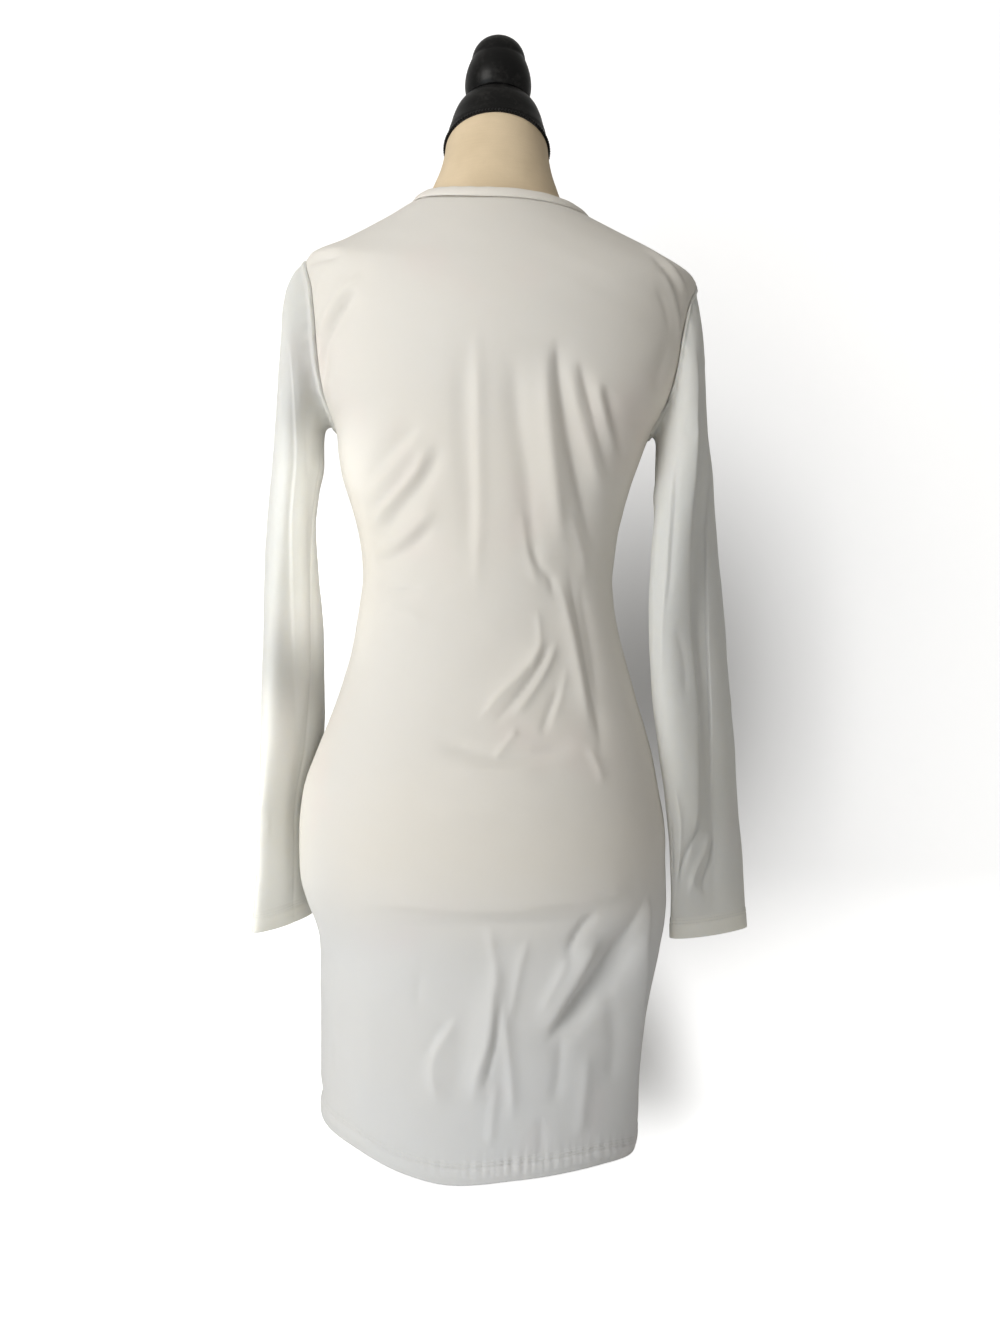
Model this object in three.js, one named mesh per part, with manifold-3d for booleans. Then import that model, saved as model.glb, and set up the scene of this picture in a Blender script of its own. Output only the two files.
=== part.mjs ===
// A long-sleeved bodycon dress of thin white jersey, worn by a limbless dress form.
// Millimetres, +Z up. +X is the wearer's right and +Y the wearer's front.
// The origin is the middle of the stand's flat underside.
import * as THREE from "three";
import { mergeVertices } from "three/addons/utils/BufferGeometryUtils.js";
import Module from "manifold-3d";

const wasm = await Module();
wasm.setup();

// Cloth and sewing
const WALL = 1.4; // cloth wall
const TURNED = 0.7; // extra thickness where a hem is turned up
const HEM_DEPTH = 17; // turned hem of the skirt
const CUFF_DEPTH = 17; // turned hem of a sleeve
const SLEEVE_LENGTH = 590; // shoulder tip to cuff
const HEM_STEP = 2; // height over which a turned hem thins to one layer
const SEAM_GAP = 0.5; // between pieces at a seam
const BAND_WALL = 2.2; // neckband, folded double
const BAND_ROLL = 0.8; // how far the neckband bulges between its edges

// Levels of the body: a level is the height of a section at its sides
const HEM_LEVEL = 20;
const HEM_WARP_TOP = 190; // the hem's rise and fall has died out here
const ARMPIT_LEVEL = 634;
const TIP_LEVEL = 782; // shoulder tip
const NECK_LEVEL = 835; // neck seam
const ARMHOLE_ANGLE = 23 * (Math.PI / 180); // half-angle the armhole cuts out of a section
const ARMHOLE_OVAL = 0.9; // below 1 squares the armhole's oval
const DIP = { back: 2, front: 2.6 }; // how broadly a yoke section dips at its middle

// Dress form and its stand
const FORM_BOTTOM = 228;
const FORM_EDGE = 8; // rounding of the form's lower edge
const FORM_STEP = 24; // height between the form's rings
const YOKE_DROP = 2.6; // how far the form's shoulders lie below the cloth's outer face
const NECK_TOP = 889.5; // height of the neck's slanted top on its axis
const NECK_SLANT = 15 * (Math.PI / 180); // the top is higher at the nape
const CONTACT_GAP = 0.3; // between rigid pieces that rest on each other
const POLE_RADIUS = 12.5;
const POLE_COLLAR = { radius: 20, height: 16, slope: 4, head: 6 };
const STAND = { radius: 70, height: 12, edge: 3 };

// Mesh density
const PANEL_COLUMNS = 22;
const PANEL_STEP = 24.5; // height between a panel's rows below the armhole
const YOKE_ROWS = 3; // rows above the shoulder tip
const ARMHOLE_ROWS = 10;
const SLEEVE_ROWS = 21; // rows between the sleeve's head and its cuff
const FORM_COLUMNS = 32;
const LATHE_SEGMENTS = 28;

const radians = (degrees) => (degrees * Math.PI) / 180;
const clamp01 = (t) => Math.min(1, Math.max(0, t));
const fade = (t) => 1 - clamp01(t) ** 2 * (3 - 2 * clamp01(t));

// A table as a list of objects, one for each row, with named columns.
function table(columns, ...rows) {
  return rows.map((row) => Object.fromEntries(columns.map((name, i) => [name, row[i]])));
}

// The columns of a table at a value of its first column, on a smooth curve through the rows.
function rowAt(rows, key, value) {
  const last = rows.length - 1;
  const i = Math.min(last - 1, Math.max(0, rows.findIndex((r) => r[key] > value) - 1));
  const k = value >= rows[last][key] ? last - 1 : i;
  const [a, b] = [rows[k], rows[k + 1]];
  const [before, after] = [rows[Math.max(0, k - 1)], rows[Math.min(last, k + 2)]];
  const span = b[key] - a[key];
  const t = (value - a[key]) / span;
  const result = {};
  for (const name of Object.keys(a)) {
    const slopeA = ((b[name] - before[name]) / (b[key] - before[key])) * span;
    const slopeB = ((after[name] - a[name]) / (after[key] - a[key])) * span;
    result[name] =
      a[name] * (2 * t ** 3 - 3 * t ** 2 + 1) +
      b[name] * (3 * t ** 2 - 2 * t ** 3) +
      slopeA * (t ** 3 - 2 * t ** 2 + t) +
      slopeB * (t ** 3 - t ** 2);
  }
  return result;
}

// Level sections of the skirt and bodice: half-widths to each side, depths, and how square.
const TORSO = table(
  ["level", "left", "right", "back", "front", "square"],
  [0, 138, 139, 106, 97, 0.02],
  [45, 137.5, 144, 105, 97, 0.03],
  [92, 138, 144.5, 104, 97, 0.04],
  [134, 139, 150, 104, 98, 0.04],
  [178, 140.5, 159.5, 105, 100, 0.03],
  [200, 147, 163.5, 107, 101, 0.02],
  [220, 155, 165, 111, 102, 0.02],
  [238, 160.5, 164.5, 115, 103, 0.02],
  [262, 162.5, 163.5, 118, 103, 0.02],
  [290, 162.5, 162, 120, 103, 0.02],
  [323, 158.5, 156, 119, 102, 0.02],
  [359, 145.5, 148, 111, 101, 0.02],
  [395, 132.5, 137, 100, 98, 0.02],
  [431, 122, 126, 91, 95, 0.02],
  [467, 116, 116.5, 84, 91, 0.02],
  [502, 112, 111.5, 81, 88, 0.02],
  [530, 114, 113.5, 83, 88, 0.02],
  [556, 119.5, 117, 87, 94, 0.03],
  [591, 131, 126, 93, 109, 0.05],
  [612, 135, 133, 96, 116, 0.06],
);

// Sections of the yoke, whose sides and middles lie at different heights.
const YOKE = table(
  ["level", "left", "leftZ", "right", "rightZ", "back", "backZ", "front", "frontZ", "square"],
  [634, 138, 634, 141, 634, 99, 634, 118, 631, 0.06],
  [662, 151, 663, 158, 661, 103, 658, 114, 650, 0.05],
  [692, 160, 694, 170, 689, 105, 682, 108, 669, 0.03],
  [722, 165, 726, 176, 717, 105, 706, 101, 687, 0.01],
  [752, 167, 757, 179.5, 746, 102, 729, 94, 704, 0],
  [782, 166, 788, 179, 775, 96, 752, 88, 719, 0],
  [800, 137, 801.5, 149, 795, 88, 773, 83, 730, 0],
  [817, 107, 817.5, 119, 809.5, 76, 797, 76, 741, 0],
  [835, 76, 838, 88, 824, 61, 822.5, 68, 750, 0],
);

const SECTIONS = [
  ...TORSO.map((row) => ({
    ...row,
    leftZ: row.level,
    rightZ: row.level,
    backZ: row.level,
    frontZ: row.level,
  })),
  ...YOKE,
];

// How far the hem rises above its level, round the skirt. Angle 0 is the wearer's right side, 90 the front.
const HEM_RISE = table(
  ["angle", "rise"],
  [-20, -9],
  [0, -12],
  [45, -4],
  [90, 1],
  [135, 7],
  [180, 14],
  [222, 12],
  [246, 0],
  [262, -5],
  [285, -1],
  [315, 0],
  [340, -9],
  [360, -12],
  [405, -4],
);

// The neckband's free edge.
const NECK_EDGE = {
  left: 67, leftZ: 845.5, right: 79.5, rightZ: 831,
  back: 57.5, backZ: 832, front: 62.5, frontZ: 759, square: 0,
};

// The largest folds of each panel, as a curve from, via and to points seen from behind or in front,
// with the half-width of its two flanks and its height. A negative height is a trough.
const FOLD_COLUMNS = ["fromX", "fromZ", "viaX", "viaZ", "toX", "toZ", "flankL", "flankR", "height"];
const BACK_FOLDS = table(
  FOLD_COLUMNS,
  [-46, 606, -68, 574, -106, 548, 12, 10, 2.6],
  [-36, 572, -62, 536, -100, 512, 12, 10, 2.4],
  [42, 684, 50, 600, 68, 512, 12, 10, 3.0],
  [84, 668, 88, 610, 104, 552, 10, 12, 2.6],
  [60, 500, 74, 440, 90, 372, 10, 12, 2.4],
  [62, 462, 34, 420, -2, 384, 14, 12, 2.8],
  [142, 228, 108, 178, 48, 116, 15, 11, -7.5],
  [139, 236, 137, 150, 134, 34, 16, 11, 3.5],
  [14, 200, 12, 140, -4, 60, 13, 11, 4.0],
  [-14, 154, -36, 110, -28, 66, 11, 13, 2.2],
  [96, 214, 76, 168, 48, 124, 12, 9, 3.6],
);
const FRONT_FOLDS = table(
  FOLD_COLUMNS,
  [-40, 600, -72, 560, -104, 522, 14, 10, 2.8],
  [36, 604, 76, 556, 108, 516, 10, 14, 2.8],
  [-52, 512, -24, 450, 6, 402, 12, 14, 2.6],
  [60, 500, 26, 446, -2, 380, 14, 12, 2.4],
  [-96, 236, -70, 150, -76, 44, 16, 14, 4.2],
  [-14, 214, -4, 130, -18, 46, 14, 16, -4.0],
  [72, 232, 58, 150, 66, 42, 14, 14, 4.2],
);

// Lengthwise folds of the sleeves. The angle runs round the sleeve: 0 outside, 90 front, 180 body side.
const SLEEVE_FOLD_COLUMNS = ["angle", "drift", "low", "high", "spread", "height"];
const LEFT_SLEEVE_FOLDS = table(
  SLEEVE_FOLD_COLUMNS,
  [188, 14, 200, 690, 24, -5.0],
  [318, -10, 230, 640, 26, 2.2],
);
const RIGHT_SLEEVE_FOLDS = table(
  SLEEVE_FOLD_COLUMNS,
  [344, 8, 210, 700, 20, -6.0],
  [304, 6, 220, 660, 20, 2.4],
);

// Sleeve sections: outer and inner ends of the short axis, half-length along the wearer's depth,
// how far forward the middle lies, and the turn of the long axis towards +X.
const SLEEVE_COLUMNS = ["station", "outerX", "outerZ", "innerX", "innerZ", "reach", "fore", "turn"];
const level = (station, middle, half, z, reach, fore, turn) => [
  station, middle + half, z, middle - half, z, reach, fore, turn,
];
const LEFT_SLEEVE = {
  side: -1,
  folds: LEFT_SLEEVE_FOLDS,
  rows: table(
    SLEEVE_COLUMNS,
    [0, 167, 788, 138.5, 635, 41, 0, 0],
    [0.025, 177, 779, 143, 641, 44, 1, 0],
    [0.055, 184, 764, 147, 641, 46, 1, 0],
    [0.09, 187.5, 744, 150, 637, 48, 1, 0],
    [0.13, 188, 717, 151.5, 629, 49, 1, 0],
    [0.18, 189.5, 684, 152, 617, 50, 2, 0],
    [0.24, 191.5, 646, 152, 603, 51, 2, 0],
    [0.3, 193.5, 606, 155, 585, 52, 2, 2],
    level(0.37, 177, 20, 556, 53, 2, 3),
    level(0.45, 175.5, 20, 516, 53, 1, -2),
    level(0.54, 173, 19.5, 470, 53, 1, -8),
    level(0.64, 171.5, 19, 413, 52, 0, -12),
    level(0.74, 171.5, 16, 357, 51, 0, -16),
    level(0.83, 177, 10.5, 303, 50, 0, -13),
    level(0.92, 177.5, 11, 249, 48, 0, -15.5),
    level(1, 177, 10.5, 195, 45, 0.5, -22),
  ),
};
const RIGHT_SLEEVE = {
  side: 1,
  folds: RIGHT_SLEEVE_FOLDS,
  rows: table(
    SLEEVE_COLUMNS,
    [0, 180, 775, 141.5, 635, 41, 0, 0],
    [0.025, 180, 768, 145, 639, 44, 1, 0],
    [0.055, 183, 753, 148, 638, 46, 1, 0],
    [0.09, 186.5, 732, 150, 632, 48, 1, 1],
    [0.13, 189.5, 706, 150, 623, 49, 1, 2],
    [0.18, 193.5, 674, 149.5, 611, 50, 2, 4],
    [0.24, 198.5, 640, 149, 597, 51, 2, 8],
    [0.3, 201.5, 603, 148.5, 580, 52, 2, 16],
    level(0.37, 177.5, 23.5, 552, 53, 2, 30),
    level(0.45, 179, 22.5, 512, 52, 2, 38),
    level(0.54, 181, 22.5, 470, 52, 2, 43),
    level(0.64, 186, 22, 413, 51, 3, 46),
    level(0.74, 193, 19, 354, 50.5, 4, 48),
    level(0.83, 199.5, 13, 300, 49.5, 3.5, 48.5),
    level(0.92, 204, 11, 243, 47.5, 2.5, 52.5),
    level(1, 206.5, 10.5, 193, 45, 2, 58),
  ),
};

// The form lies this far inside the cloth's outer face.
const FORM_INSET = table(
  ["level", "side", "back", "front"],
  [228, 3.8, 6, 4.6],
  [252, 3.2, 4.4, 3.6],
  [300, 3, 2.6, 3.2],
  [345, 3.4, 5, 3.6],
  [400, 3.6, 11, 4],
  [450, 3.6, 13, 4.5],
  [502, 3.4, 12, 4.5],
  [560, 3.4, 9, 5],
  [612, 3.6, 5.5, 4.2],
  [634, 6, 4.5, 3.4],
  [662, 12, 3.6, 3.2],
  [700, 12, 3.2, 3.4],
  [740, 8, 3.0, 3.6],
  [775, 3.4, 2.8, 3.4],
  [800, 2.2, 2.4, 3],
  [835, 2.2, 3, 4.6],
);

// The form's neck above the neck seam, with the same columns as the yoke.
const FORM_NECK = table(
  ["level", "left", "leftZ", "right", "rightZ", "back", "backZ", "front", "frontZ", "square"],
  [846, 61.5, 846, 63, 839, 53, 831, 54.5, 768, 0],
  [858, 55, 858, 55, 855, 50, 850, 50.5, 806, 0],
  [872, 49.5, 872, 49.5, 871, 47.5, 875, 46.5, 842, 0],
  [892, 45.9, 892, 45.9, 892, 45.7, 897, 45.9, 872, 0],
  [925, 45.6, 925, 45.6, 925, 45.6, 930, 45.6, 905, 0],
);

// Turned profiles as [radius, height] pairs.
const CAP_PROFILE = [
  [0, 860], [47.6, 860], [47.8, 888], [46.6, 896], [43.8, 903.5], [43.6, 905.5],
  [41.8, 912], [39.4, 920], [35.4, 928.5], [30, 934.8], [26.4, 937], [0, 937],
];
const FINIAL_PROFILE = [
  [0, 937.3], [26.6, 937.3], [28.6, 941], [29.8, 948], [29.3, 956], [27.4, 963.5],
  [25, 969.6], [24.2, 971], [23.8, 974.5], [21.8, 980], [17.6, 985.4], [10.5, 989.6], [0, 991],
];

// Shape of one ring of the body at an angle: 0 the right side, 90 the front, 180 the left, 270 the back.
function ringPoint(section, angle) {
  const c = Math.cos(angle);
  const s = Math.sin(angle);
  const bulge = 1 + section.square * Math.sin(2 * angle) ** 2;
  const across = c < 0 ? section.left : section.right;
  const deep = s < 0 ? section.back : section.front;
  const sideZ = c < 0 ? section.leftZ : section.rightZ;
  const middleZ = s < 0 ? section.backZ : section.frontZ;
  return new THREE.Vector3(
    across * c * bulge,
    deep * s * bulge,
    middleZ + (sideZ - middleZ) * Math.abs(c) ** (s < 0 ? DIP.back : DIP.front),
  );
}

const FOLD_STEPS = 8; // points tried along a fold's curve
const FOLD_TAPER = 0.7; // how bluntly a fold fades towards its ends
const LONG_FOLD_TAPER = 0.6;

// Height of the folds at a place seen square on: ridges and troughs along curves, fading at both ends.
function foldHeight(folds, x, z) {
  let total = 0;
  for (const f of folds) {
    let best = { away: Infinity, along: 0, sign: 1 };
    for (let i = 0; i <= FOLD_STEPS; i++) {
      const t = i / FOLD_STEPS;
      const px = f.fromX * (1 - t) ** 2 + 2 * f.viaX * t * (1 - t) + f.toX * t ** 2;
      const pz = f.fromZ * (1 - t) ** 2 + 2 * f.viaZ * t * (1 - t) + f.toZ * t ** 2;
      const away = Math.hypot(x - px, z - pz);
      if (away < best.away) best = { away, along: t, sign: x < px ? -1 : 1 };
    }
    const flank = best.sign < 0 ? f.flankL : f.flankR;
    const taper = Math.sin(Math.PI * best.along) ** FOLD_TAPER;
    total += f.height * taper * Math.exp(-((best.away / flank) ** 2));
  }
  return total;
}

// A point of the plain body surface, with the hem's rise and fall but no folds.
function basePoint(bodyLevel, angle) {
  const p = ringPoint(rowAt(SECTIONS, "level", bodyLevel), angle);
  const degrees = THREE.MathUtils.euclideanModulo((angle * 180) / Math.PI, 360);
  const rise = rowAt(HEM_RISE, "angle", degrees).rise;
  p.z += rise * fade((bodyLevel - HEM_LEVEL) / (HEM_WARP_TOP - HEM_LEVEL));
  return p;
}

// Outward unit normal of a surface given as a function of a row and a column value.
function normalOf(surface, row, column, rowStep, columnStep, flip) {
  const alongRow = surface(row + rowStep, column).sub(surface(row - rowStep, column));
  const alongColumn = surface(row, column + columnStep).sub(surface(row, column - columnStep));
  return alongColumn.cross(alongRow).multiplyScalar(flip).normalize();
}

// Steps of level, angle and sleeve station over which slopes are measured
const LEVEL_STEP = 0.5;
const ANGLE_STEP = 0.004;
const ARMHOLE_STEP = 0.05;
const STATION_STEP = 0.003;

// A point of the cloth's outer face: the body surface with its folds raised along the normal.
function clothPoint(bodyLevel, angle) {
  const p = basePoint(bodyLevel, angle);
  const back = Math.sin(angle) < 0;
  const lift = foldHeight(back ? BACK_FOLDS : FRONT_FOLDS, p.x, p.z) * Math.abs(Math.sin(angle)) ** 0.5;
  const normal = normalOf(basePoint, bodyLevel, angle, LEVEL_STEP, ANGLE_STEP, 1);
  return p.addScaledVector(normal, lift);
}

// Half of the angle that the armhole takes out of a section.
function armholeAngle(bodyLevel) {
  const t = (bodyLevel - ARMPIT_LEVEL) / (TIP_LEVEL - ARMPIT_LEVEL);
  if (t <= 0 || t >= 1) return 0;
  return ARMHOLE_ANGLE * (2 * Math.sqrt(t * (1 - t))) ** ARMHOLE_OVAL;
}

// Levels of the panels' rows: close at the hem and at the armhole, where they match the sleeve's columns.
function panelLevels() {
  const levels = [HEM_LEVEL, HEM_LEVEL + HEM_DEPTH, HEM_LEVEL + HEM_DEPTH + HEM_STEP];
  const start = levels.at(-1);
  const steps = Math.round((ARMPIT_LEVEL - start) / PANEL_STEP);
  for (let i = 1; i < steps; i++) levels.push(start + ((ARMPIT_LEVEL - start) * i) / steps);
  for (let i = 0; i <= ARMHOLE_ROWS; i++) levels.push(armholeLevel(i));
  for (let i = 1; i <= YOKE_ROWS; i++)
    levels.push(TIP_LEVEL + ((NECK_LEVEL - TIP_LEVEL) * i) / YOKE_ROWS);
  return levels;
}

function armholeLevel(i) {
  return ARMPIT_LEVEL + ((TIP_LEVEL - ARMPIT_LEVEL) * (1 - Math.cos((Math.PI * i) / ARMHOLE_ROWS))) / 2;
}

// Outer and inner faces of one panel, as grids of points. The front has side +1 and the back -1.
function panelFaces(side) {
  const outer = [];
  const inner = [];
  for (const bodyLevel of panelLevels()) {
    const cut = armholeAngle(bodyLevel);
    const outerRow = [];
    const innerRow = [];
    for (let j = 0; j <= PANEL_COLUMNS; j++) {
      const angle = side * (cut + ((Math.PI - 2 * cut) * j) / PANEL_COLUMNS);
      const point = clothPoint(bodyLevel, angle);
      const normal = normalOf(clothPoint, bodyLevel, angle, LEVEL_STEP, ANGLE_STEP, 1);
      const edge = j === 0 || j === PANEL_COLUMNS;
      if (edge && cut === 0) normal.setY(0).normalize();
      const turned = bodyLevel <= HEM_LEVEL + HEM_DEPTH ? TURNED : 0;
      const inside = point.clone().addScaledVector(normal, -WALL);
      const outside = point.clone().addScaledVector(normal, turned);
      if (edge && cut === 0) {
        outside.y = (side * SEAM_GAP) / 2;
        inside.y = (side * SEAM_GAP) / 2;
      }
      outerRow.push(outside);
      innerRow.push(inside);
    }
    outer.push(outerRow);
    inner.push(innerRow);
  }
  return { outer, inner };
}

// The closed wall between two grids of points. With around, the columns close on themselves.
function wallGeometry(outer, inner, around, flip) {
  const rows = outer.length;
  const columns = outer[0].length;
  const points = [...outer.flat(), ...inner.flat()];
  const index = [];
  const at = (face, i, j) => face * rows * columns + i * columns + (j % columns);
  const quad = (a, b, c, d) => (flip ? index.push(a, c, b, a, d, c) : index.push(a, b, c, a, c, d));
  const spans = around ? columns : columns - 1;
  for (let i = 0; i < rows - 1; i++)
    for (let j = 0; j < spans; j++) {
      quad(at(0, i, j), at(0, i, j + 1), at(0, i + 1, j + 1), at(0, i + 1, j));
      quad(at(1, i, j), at(1, i + 1, j), at(1, i + 1, j + 1), at(1, i, j + 1));
    }
  for (let j = 0; j < spans; j++) {
    quad(at(0, 0, j), at(1, 0, j), at(1, 0, j + 1), at(0, 0, j + 1));
    quad(at(0, rows - 1, j), at(0, rows - 1, j + 1), at(1, rows - 1, j + 1), at(1, rows - 1, j));
  }
  if (!around)
    for (let i = 0; i < rows - 1; i++) {
      const e = columns - 1;
      quad(at(0, i, 0), at(0, i + 1, 0), at(1, i + 1, 0), at(1, i, 0));
      quad(at(0, i, e), at(1, i, e), at(1, i + 1, e), at(0, i + 1, e));
    }
  return geometryOf(points, index);
}

function geometryOf(points, index) {
  const geometry = new THREE.BufferGeometry().setFromPoints(points);
  geometry.setIndex(index);
  geometry.computeVertexNormals();
  return geometry;
}

// A solid through closed rings of points, with flat ends.
function loftGeometry(rings) {
  const columns = rings[0].length;
  const points = rings.flat();
  const index = [];
  rings.slice(1).forEach((_, i) => {
    for (let j = 0; j < columns; j++) {
      const [a, b] = [i * columns + j, i * columns + ((j + 1) % columns)];
      index.push(a, b, b + columns, a, b + columns, a + columns);
    }
  });
  const end = (ring, first, up) => {
    const middle = ring.reduce((sum, p) => sum.add(p), new THREE.Vector3()).divideScalar(columns);
    points.push(middle);
    for (let j = 0; j < columns; j++) {
      const [a, b] = [first + j, first + ((j + 1) % columns)];
      index.push(points.length - 1, up ? a : b, up ? b : a);
    }
  };
  end(rings[0], 0, false);
  end(rings.at(-1), (rings.length - 1) * columns, true);
  return geometryOf(points, index);
}

// Folds of a sleeve at an angle round it and a height.
function sleeveFoldHeight(folds, angle, z) {
  let total = 0;
  for (const f of folds) {
    const along = clamp01((z - f.low) / (f.high - f.low));
    const centre = f.angle + f.drift * Math.sin(3 * Math.PI * along);
    const degrees = (angle * 180) / Math.PI;
    const away = THREE.MathUtils.euclideanModulo(degrees - centre + 180, 360) - 180;
    total += f.height * Math.sin(Math.PI * along) ** LONG_FOLD_TAPER * Math.exp(-((away / f.spread) ** 2));
  }
  return total;
}

// A point of a sleeve's plain section, before it is fitted to the armhole.
function sleeveSection(sleeve, station, angle) {
  const r = rowAt(sleeve.rows, "station", station);
  const [c, s] = [Math.cos(angle), Math.sin(angle)];
  const middle = new THREE.Vector3((r.outerX + r.innerX) / 2, r.fore, (r.outerZ + r.innerZ) / 2);
  const short = new THREE.Vector3((r.outerX - r.innerX) / 2, 0, (r.outerZ - r.innerZ) / 2);
  const long = new THREE.Vector3(0, r.reach, 0);
  const up = new THREE.Vector3(0, 0, 1);
  for (const axis of [short, long]) axis.applyAxisAngle(up, -radians(r.turn));
  const p = middle.addScaledVector(short, c).addScaledVector(long, s);
  p.x *= sleeve.side;
  return p;
}

// A point of the armhole's edge on the body at an angle round the sleeve, and the cloth's normal there.
function armholeEdge(sleeve, angle) {
  const bodyLevel = ARMPIT_LEVEL + ((TIP_LEVEL - ARMPIT_LEVEL) * (1 + Math.cos(angle))) / 2;
  const cut = armholeAngle(bodyLevel) * Math.sign(Math.sin(angle));
  const bodyAngle = sleeve.side > 0 ? cut : Math.PI - cut;
  const normal = normalOf(clothPoint, bodyLevel, bodyAngle, LEVEL_STEP, ANGLE_STEP, 1);
  if (cut === 0) normal.setY(0).normalize();
  return { point: clothPoint(bodyLevel, bodyAngle), normal };
}

// The sleeve's end at the armhole, a seam's gap inside the edge and moved along the normal.
function armholePoint(sleeve, angle, offset) {
  const { point, normal } = armholeEdge(sleeve, angle);
  const ahead = armholeEdge(sleeve, angle + ARMHOLE_STEP).point;
  const behind = armholeEdge(sleeve, angle - ARMHOLE_STEP).point;
  const into = ahead.sub(behind).cross(normal).normalize().multiplyScalar(sleeve.side * SEAM_GAP);
  return point.add(into).addScaledVector(normal, offset);
}

const FIT_LENGTH = 0.1; // share of the sleeve that is eased into the armhole

function sleevePoint(sleeve, station, angle) {
  const p = sleeveSection(sleeve, station, angle);
  const ease = fade(station / FIT_LENGTH);
  if (ease > 0) {
    const start = sleeveSection(sleeve, 0, angle);
    p.add(armholePoint(sleeve, angle, 0).sub(start).multiplyScalar(ease));
  }
  const middle = sleeveSection(sleeve, station, 0).add(sleeveSection(sleeve, station, Math.PI)).multiplyScalar(0.5);
  const outward = p.clone().sub(middle).setZ(0).normalize();
  return p.addScaledVector(outward, sleeveFoldHeight(sleeve.folds, angle, p.z) * (1 - ease));
}

// Outer and inner faces of a sleeve. Its first ring meets the panels' armhole edges point by point.
function sleeveFaces(sleeve) {
  const stations = [0, 0.012, 0.03, 0.055, 0.085];
  const start = stations.at(-1);
  const cuffStart = 1 - CUFF_DEPTH / SLEEVE_LENGTH;
  const end = cuffStart - HEM_STEP / SLEEVE_LENGTH;
  for (let i = 1; i <= SLEEVE_ROWS; i++) stations.push(start + ((end - start) * i) / SLEEVE_ROWS);
  stations.push(cuffStart, 1);
  const columns = 2 * ARMHOLE_ROWS;
  const outer = [];
  const inner = [];
  const surface = (station, angle) => sleevePoint(sleeve, station, angle);
  for (const station of stations) {
    const outerRow = [];
    const innerRow = [];
    for (let j = 0; j < columns; j++) {
      const angle = (2 * Math.PI * j) / columns;
      if (station === 0) {
        outerRow.push(armholePoint(sleeve, angle, 0));
        innerRow.push(armholePoint(sleeve, angle, -WALL));
        continue;
      }
      const p = surface(station, angle);
      const normal = normalOf(surface, station, angle, STATION_STEP, ARMHOLE_STEP, -sleeve.side);
      const turned = station >= cuffStart ? TURNED : 0;
      outerRow.push(p.clone().addScaledVector(normal, turned));
      innerRow.push(p.clone().addScaledVector(normal, -WALL));
    }
    outer.push(outerRow);
    inner.push(innerRow);
  }
  return { outer, inner };
}

const BAND_GAP = 0.75; // between the neck seam and the band
const BAND_SHARES = [0, 0.35, 0.7, 1]; // places across the band where its roll is shaped

// Outer and inner faces of the neckband, a strip from the neck seam to its free edge.
function neckbandFaces() {
  const columns = 2 * PANEL_COLUMNS;
  const outer = BAND_SHARES.map(() => []);
  const inner = BAND_SHARES.map(() => []);
  for (let j = 0; j < columns; j++) {
    const angle = (2 * Math.PI * j) / columns;
    const seam = clothPoint(NECK_LEVEL, angle);
    const edge = ringPoint(NECK_EDGE, angle);
    const along = edge.clone().sub(seam).normalize();
    const normal = normalOf(clothPoint, NECK_LEVEL - LEVEL_STEP, angle, LEVEL_STEP, ANGLE_STEP, 1);
    seam.addScaledVector(along, BAND_GAP);
    BAND_SHARES.forEach((t, i) => {
      const p = seam.clone().lerp(edge, t);
      const roll = BAND_ROLL * Math.sin(Math.PI * t);
      outer[i].push(p.clone().addScaledVector(normal, roll + BAND_WALL - WALL));
      inner[i].push(p.clone().addScaledVector(normal, roll - WALL));
    });
  }
  return { outer, inner };
}

// Rings of the dress form: the body surface moved in, then the neck.
function formRings() {
  const rows = [];
  for (let bodyLevel = FORM_BOTTOM; bodyLevel < NECK_LEVEL; bodyLevel += FORM_STEP) rows.push(bodyLevel);
  rows.push(NECK_LEVEL);
  rows.splice(1, 0, FORM_BOTTOM + FORM_EDGE / 3, FORM_BOTTOM + FORM_EDGE);
  const sections = rows.map((bodyLevel) => {
    const s = { ...rowAt(SECTIONS, "level", bodyLevel) };
    const inset = rowAt(FORM_INSET, "level", bodyLevel);
    const edge = FORM_EDGE * (1 - Math.sqrt(clamp01((bodyLevel - FORM_BOTTOM) / FORM_EDGE)));
    const drop = bodyLevel > TIP_LEVEL - FORM_EDGE ? YOKE_DROP : 0;
    return {
      ...s,
      left: s.left - inset.side - edge,
      right: s.right - inset.side - edge,
      back: s.back - inset.back - edge,
      front: s.front - inset.front - edge,
      leftZ: s.leftZ - drop,
      rightZ: s.rightZ - drop,
      backZ: s.backZ - drop / 2,
      frontZ: s.frontZ - drop / 2,
    };
  });
  return [...sections, ...FORM_NECK].map((section) =>
    Array.from({ length: FORM_COLUMNS }, (_, j) => ringPoint(section, (2 * Math.PI * j) / FORM_COLUMNS)),
  );
}

const lathe = (profile) => {
  const geometry = new THREE.LatheGeometry(
    profile.map(([radius, height]) => new THREE.Vector2(radius, height)),
    LATHE_SEGMENTS,
  );
  return geometry.rotateX(Math.PI / 2);
};

// A closed geometry as a solid for cutting, and back.
function solidOf(geometry) {
  const bare = geometry.clone();
  bare.deleteAttribute("normal");
  bare.deleteAttribute("uv");
  const merged = mergeVertices(bare, 1e-4);
  return new wasm.Manifold(
    new wasm.Mesh({
      numProp: 3,
      vertProperties: new Float32Array(merged.attributes.position.array),
      triVerts: new Uint32Array(merged.index.array),
    }),
  );
}

function geometryFrom(solid) {
  const mesh = solid.getMesh();
  const geometry = new THREE.BufferGeometry();
  geometry.setAttribute("position", new THREE.BufferAttribute(mesh.vertProperties, 3));
  geometry.setIndex(new THREE.BufferAttribute(mesh.triVerts, 1));
  geometry.computeVertexNormals();
  return geometry;
}

const BLOCK = 400; // larger than the form across

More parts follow.
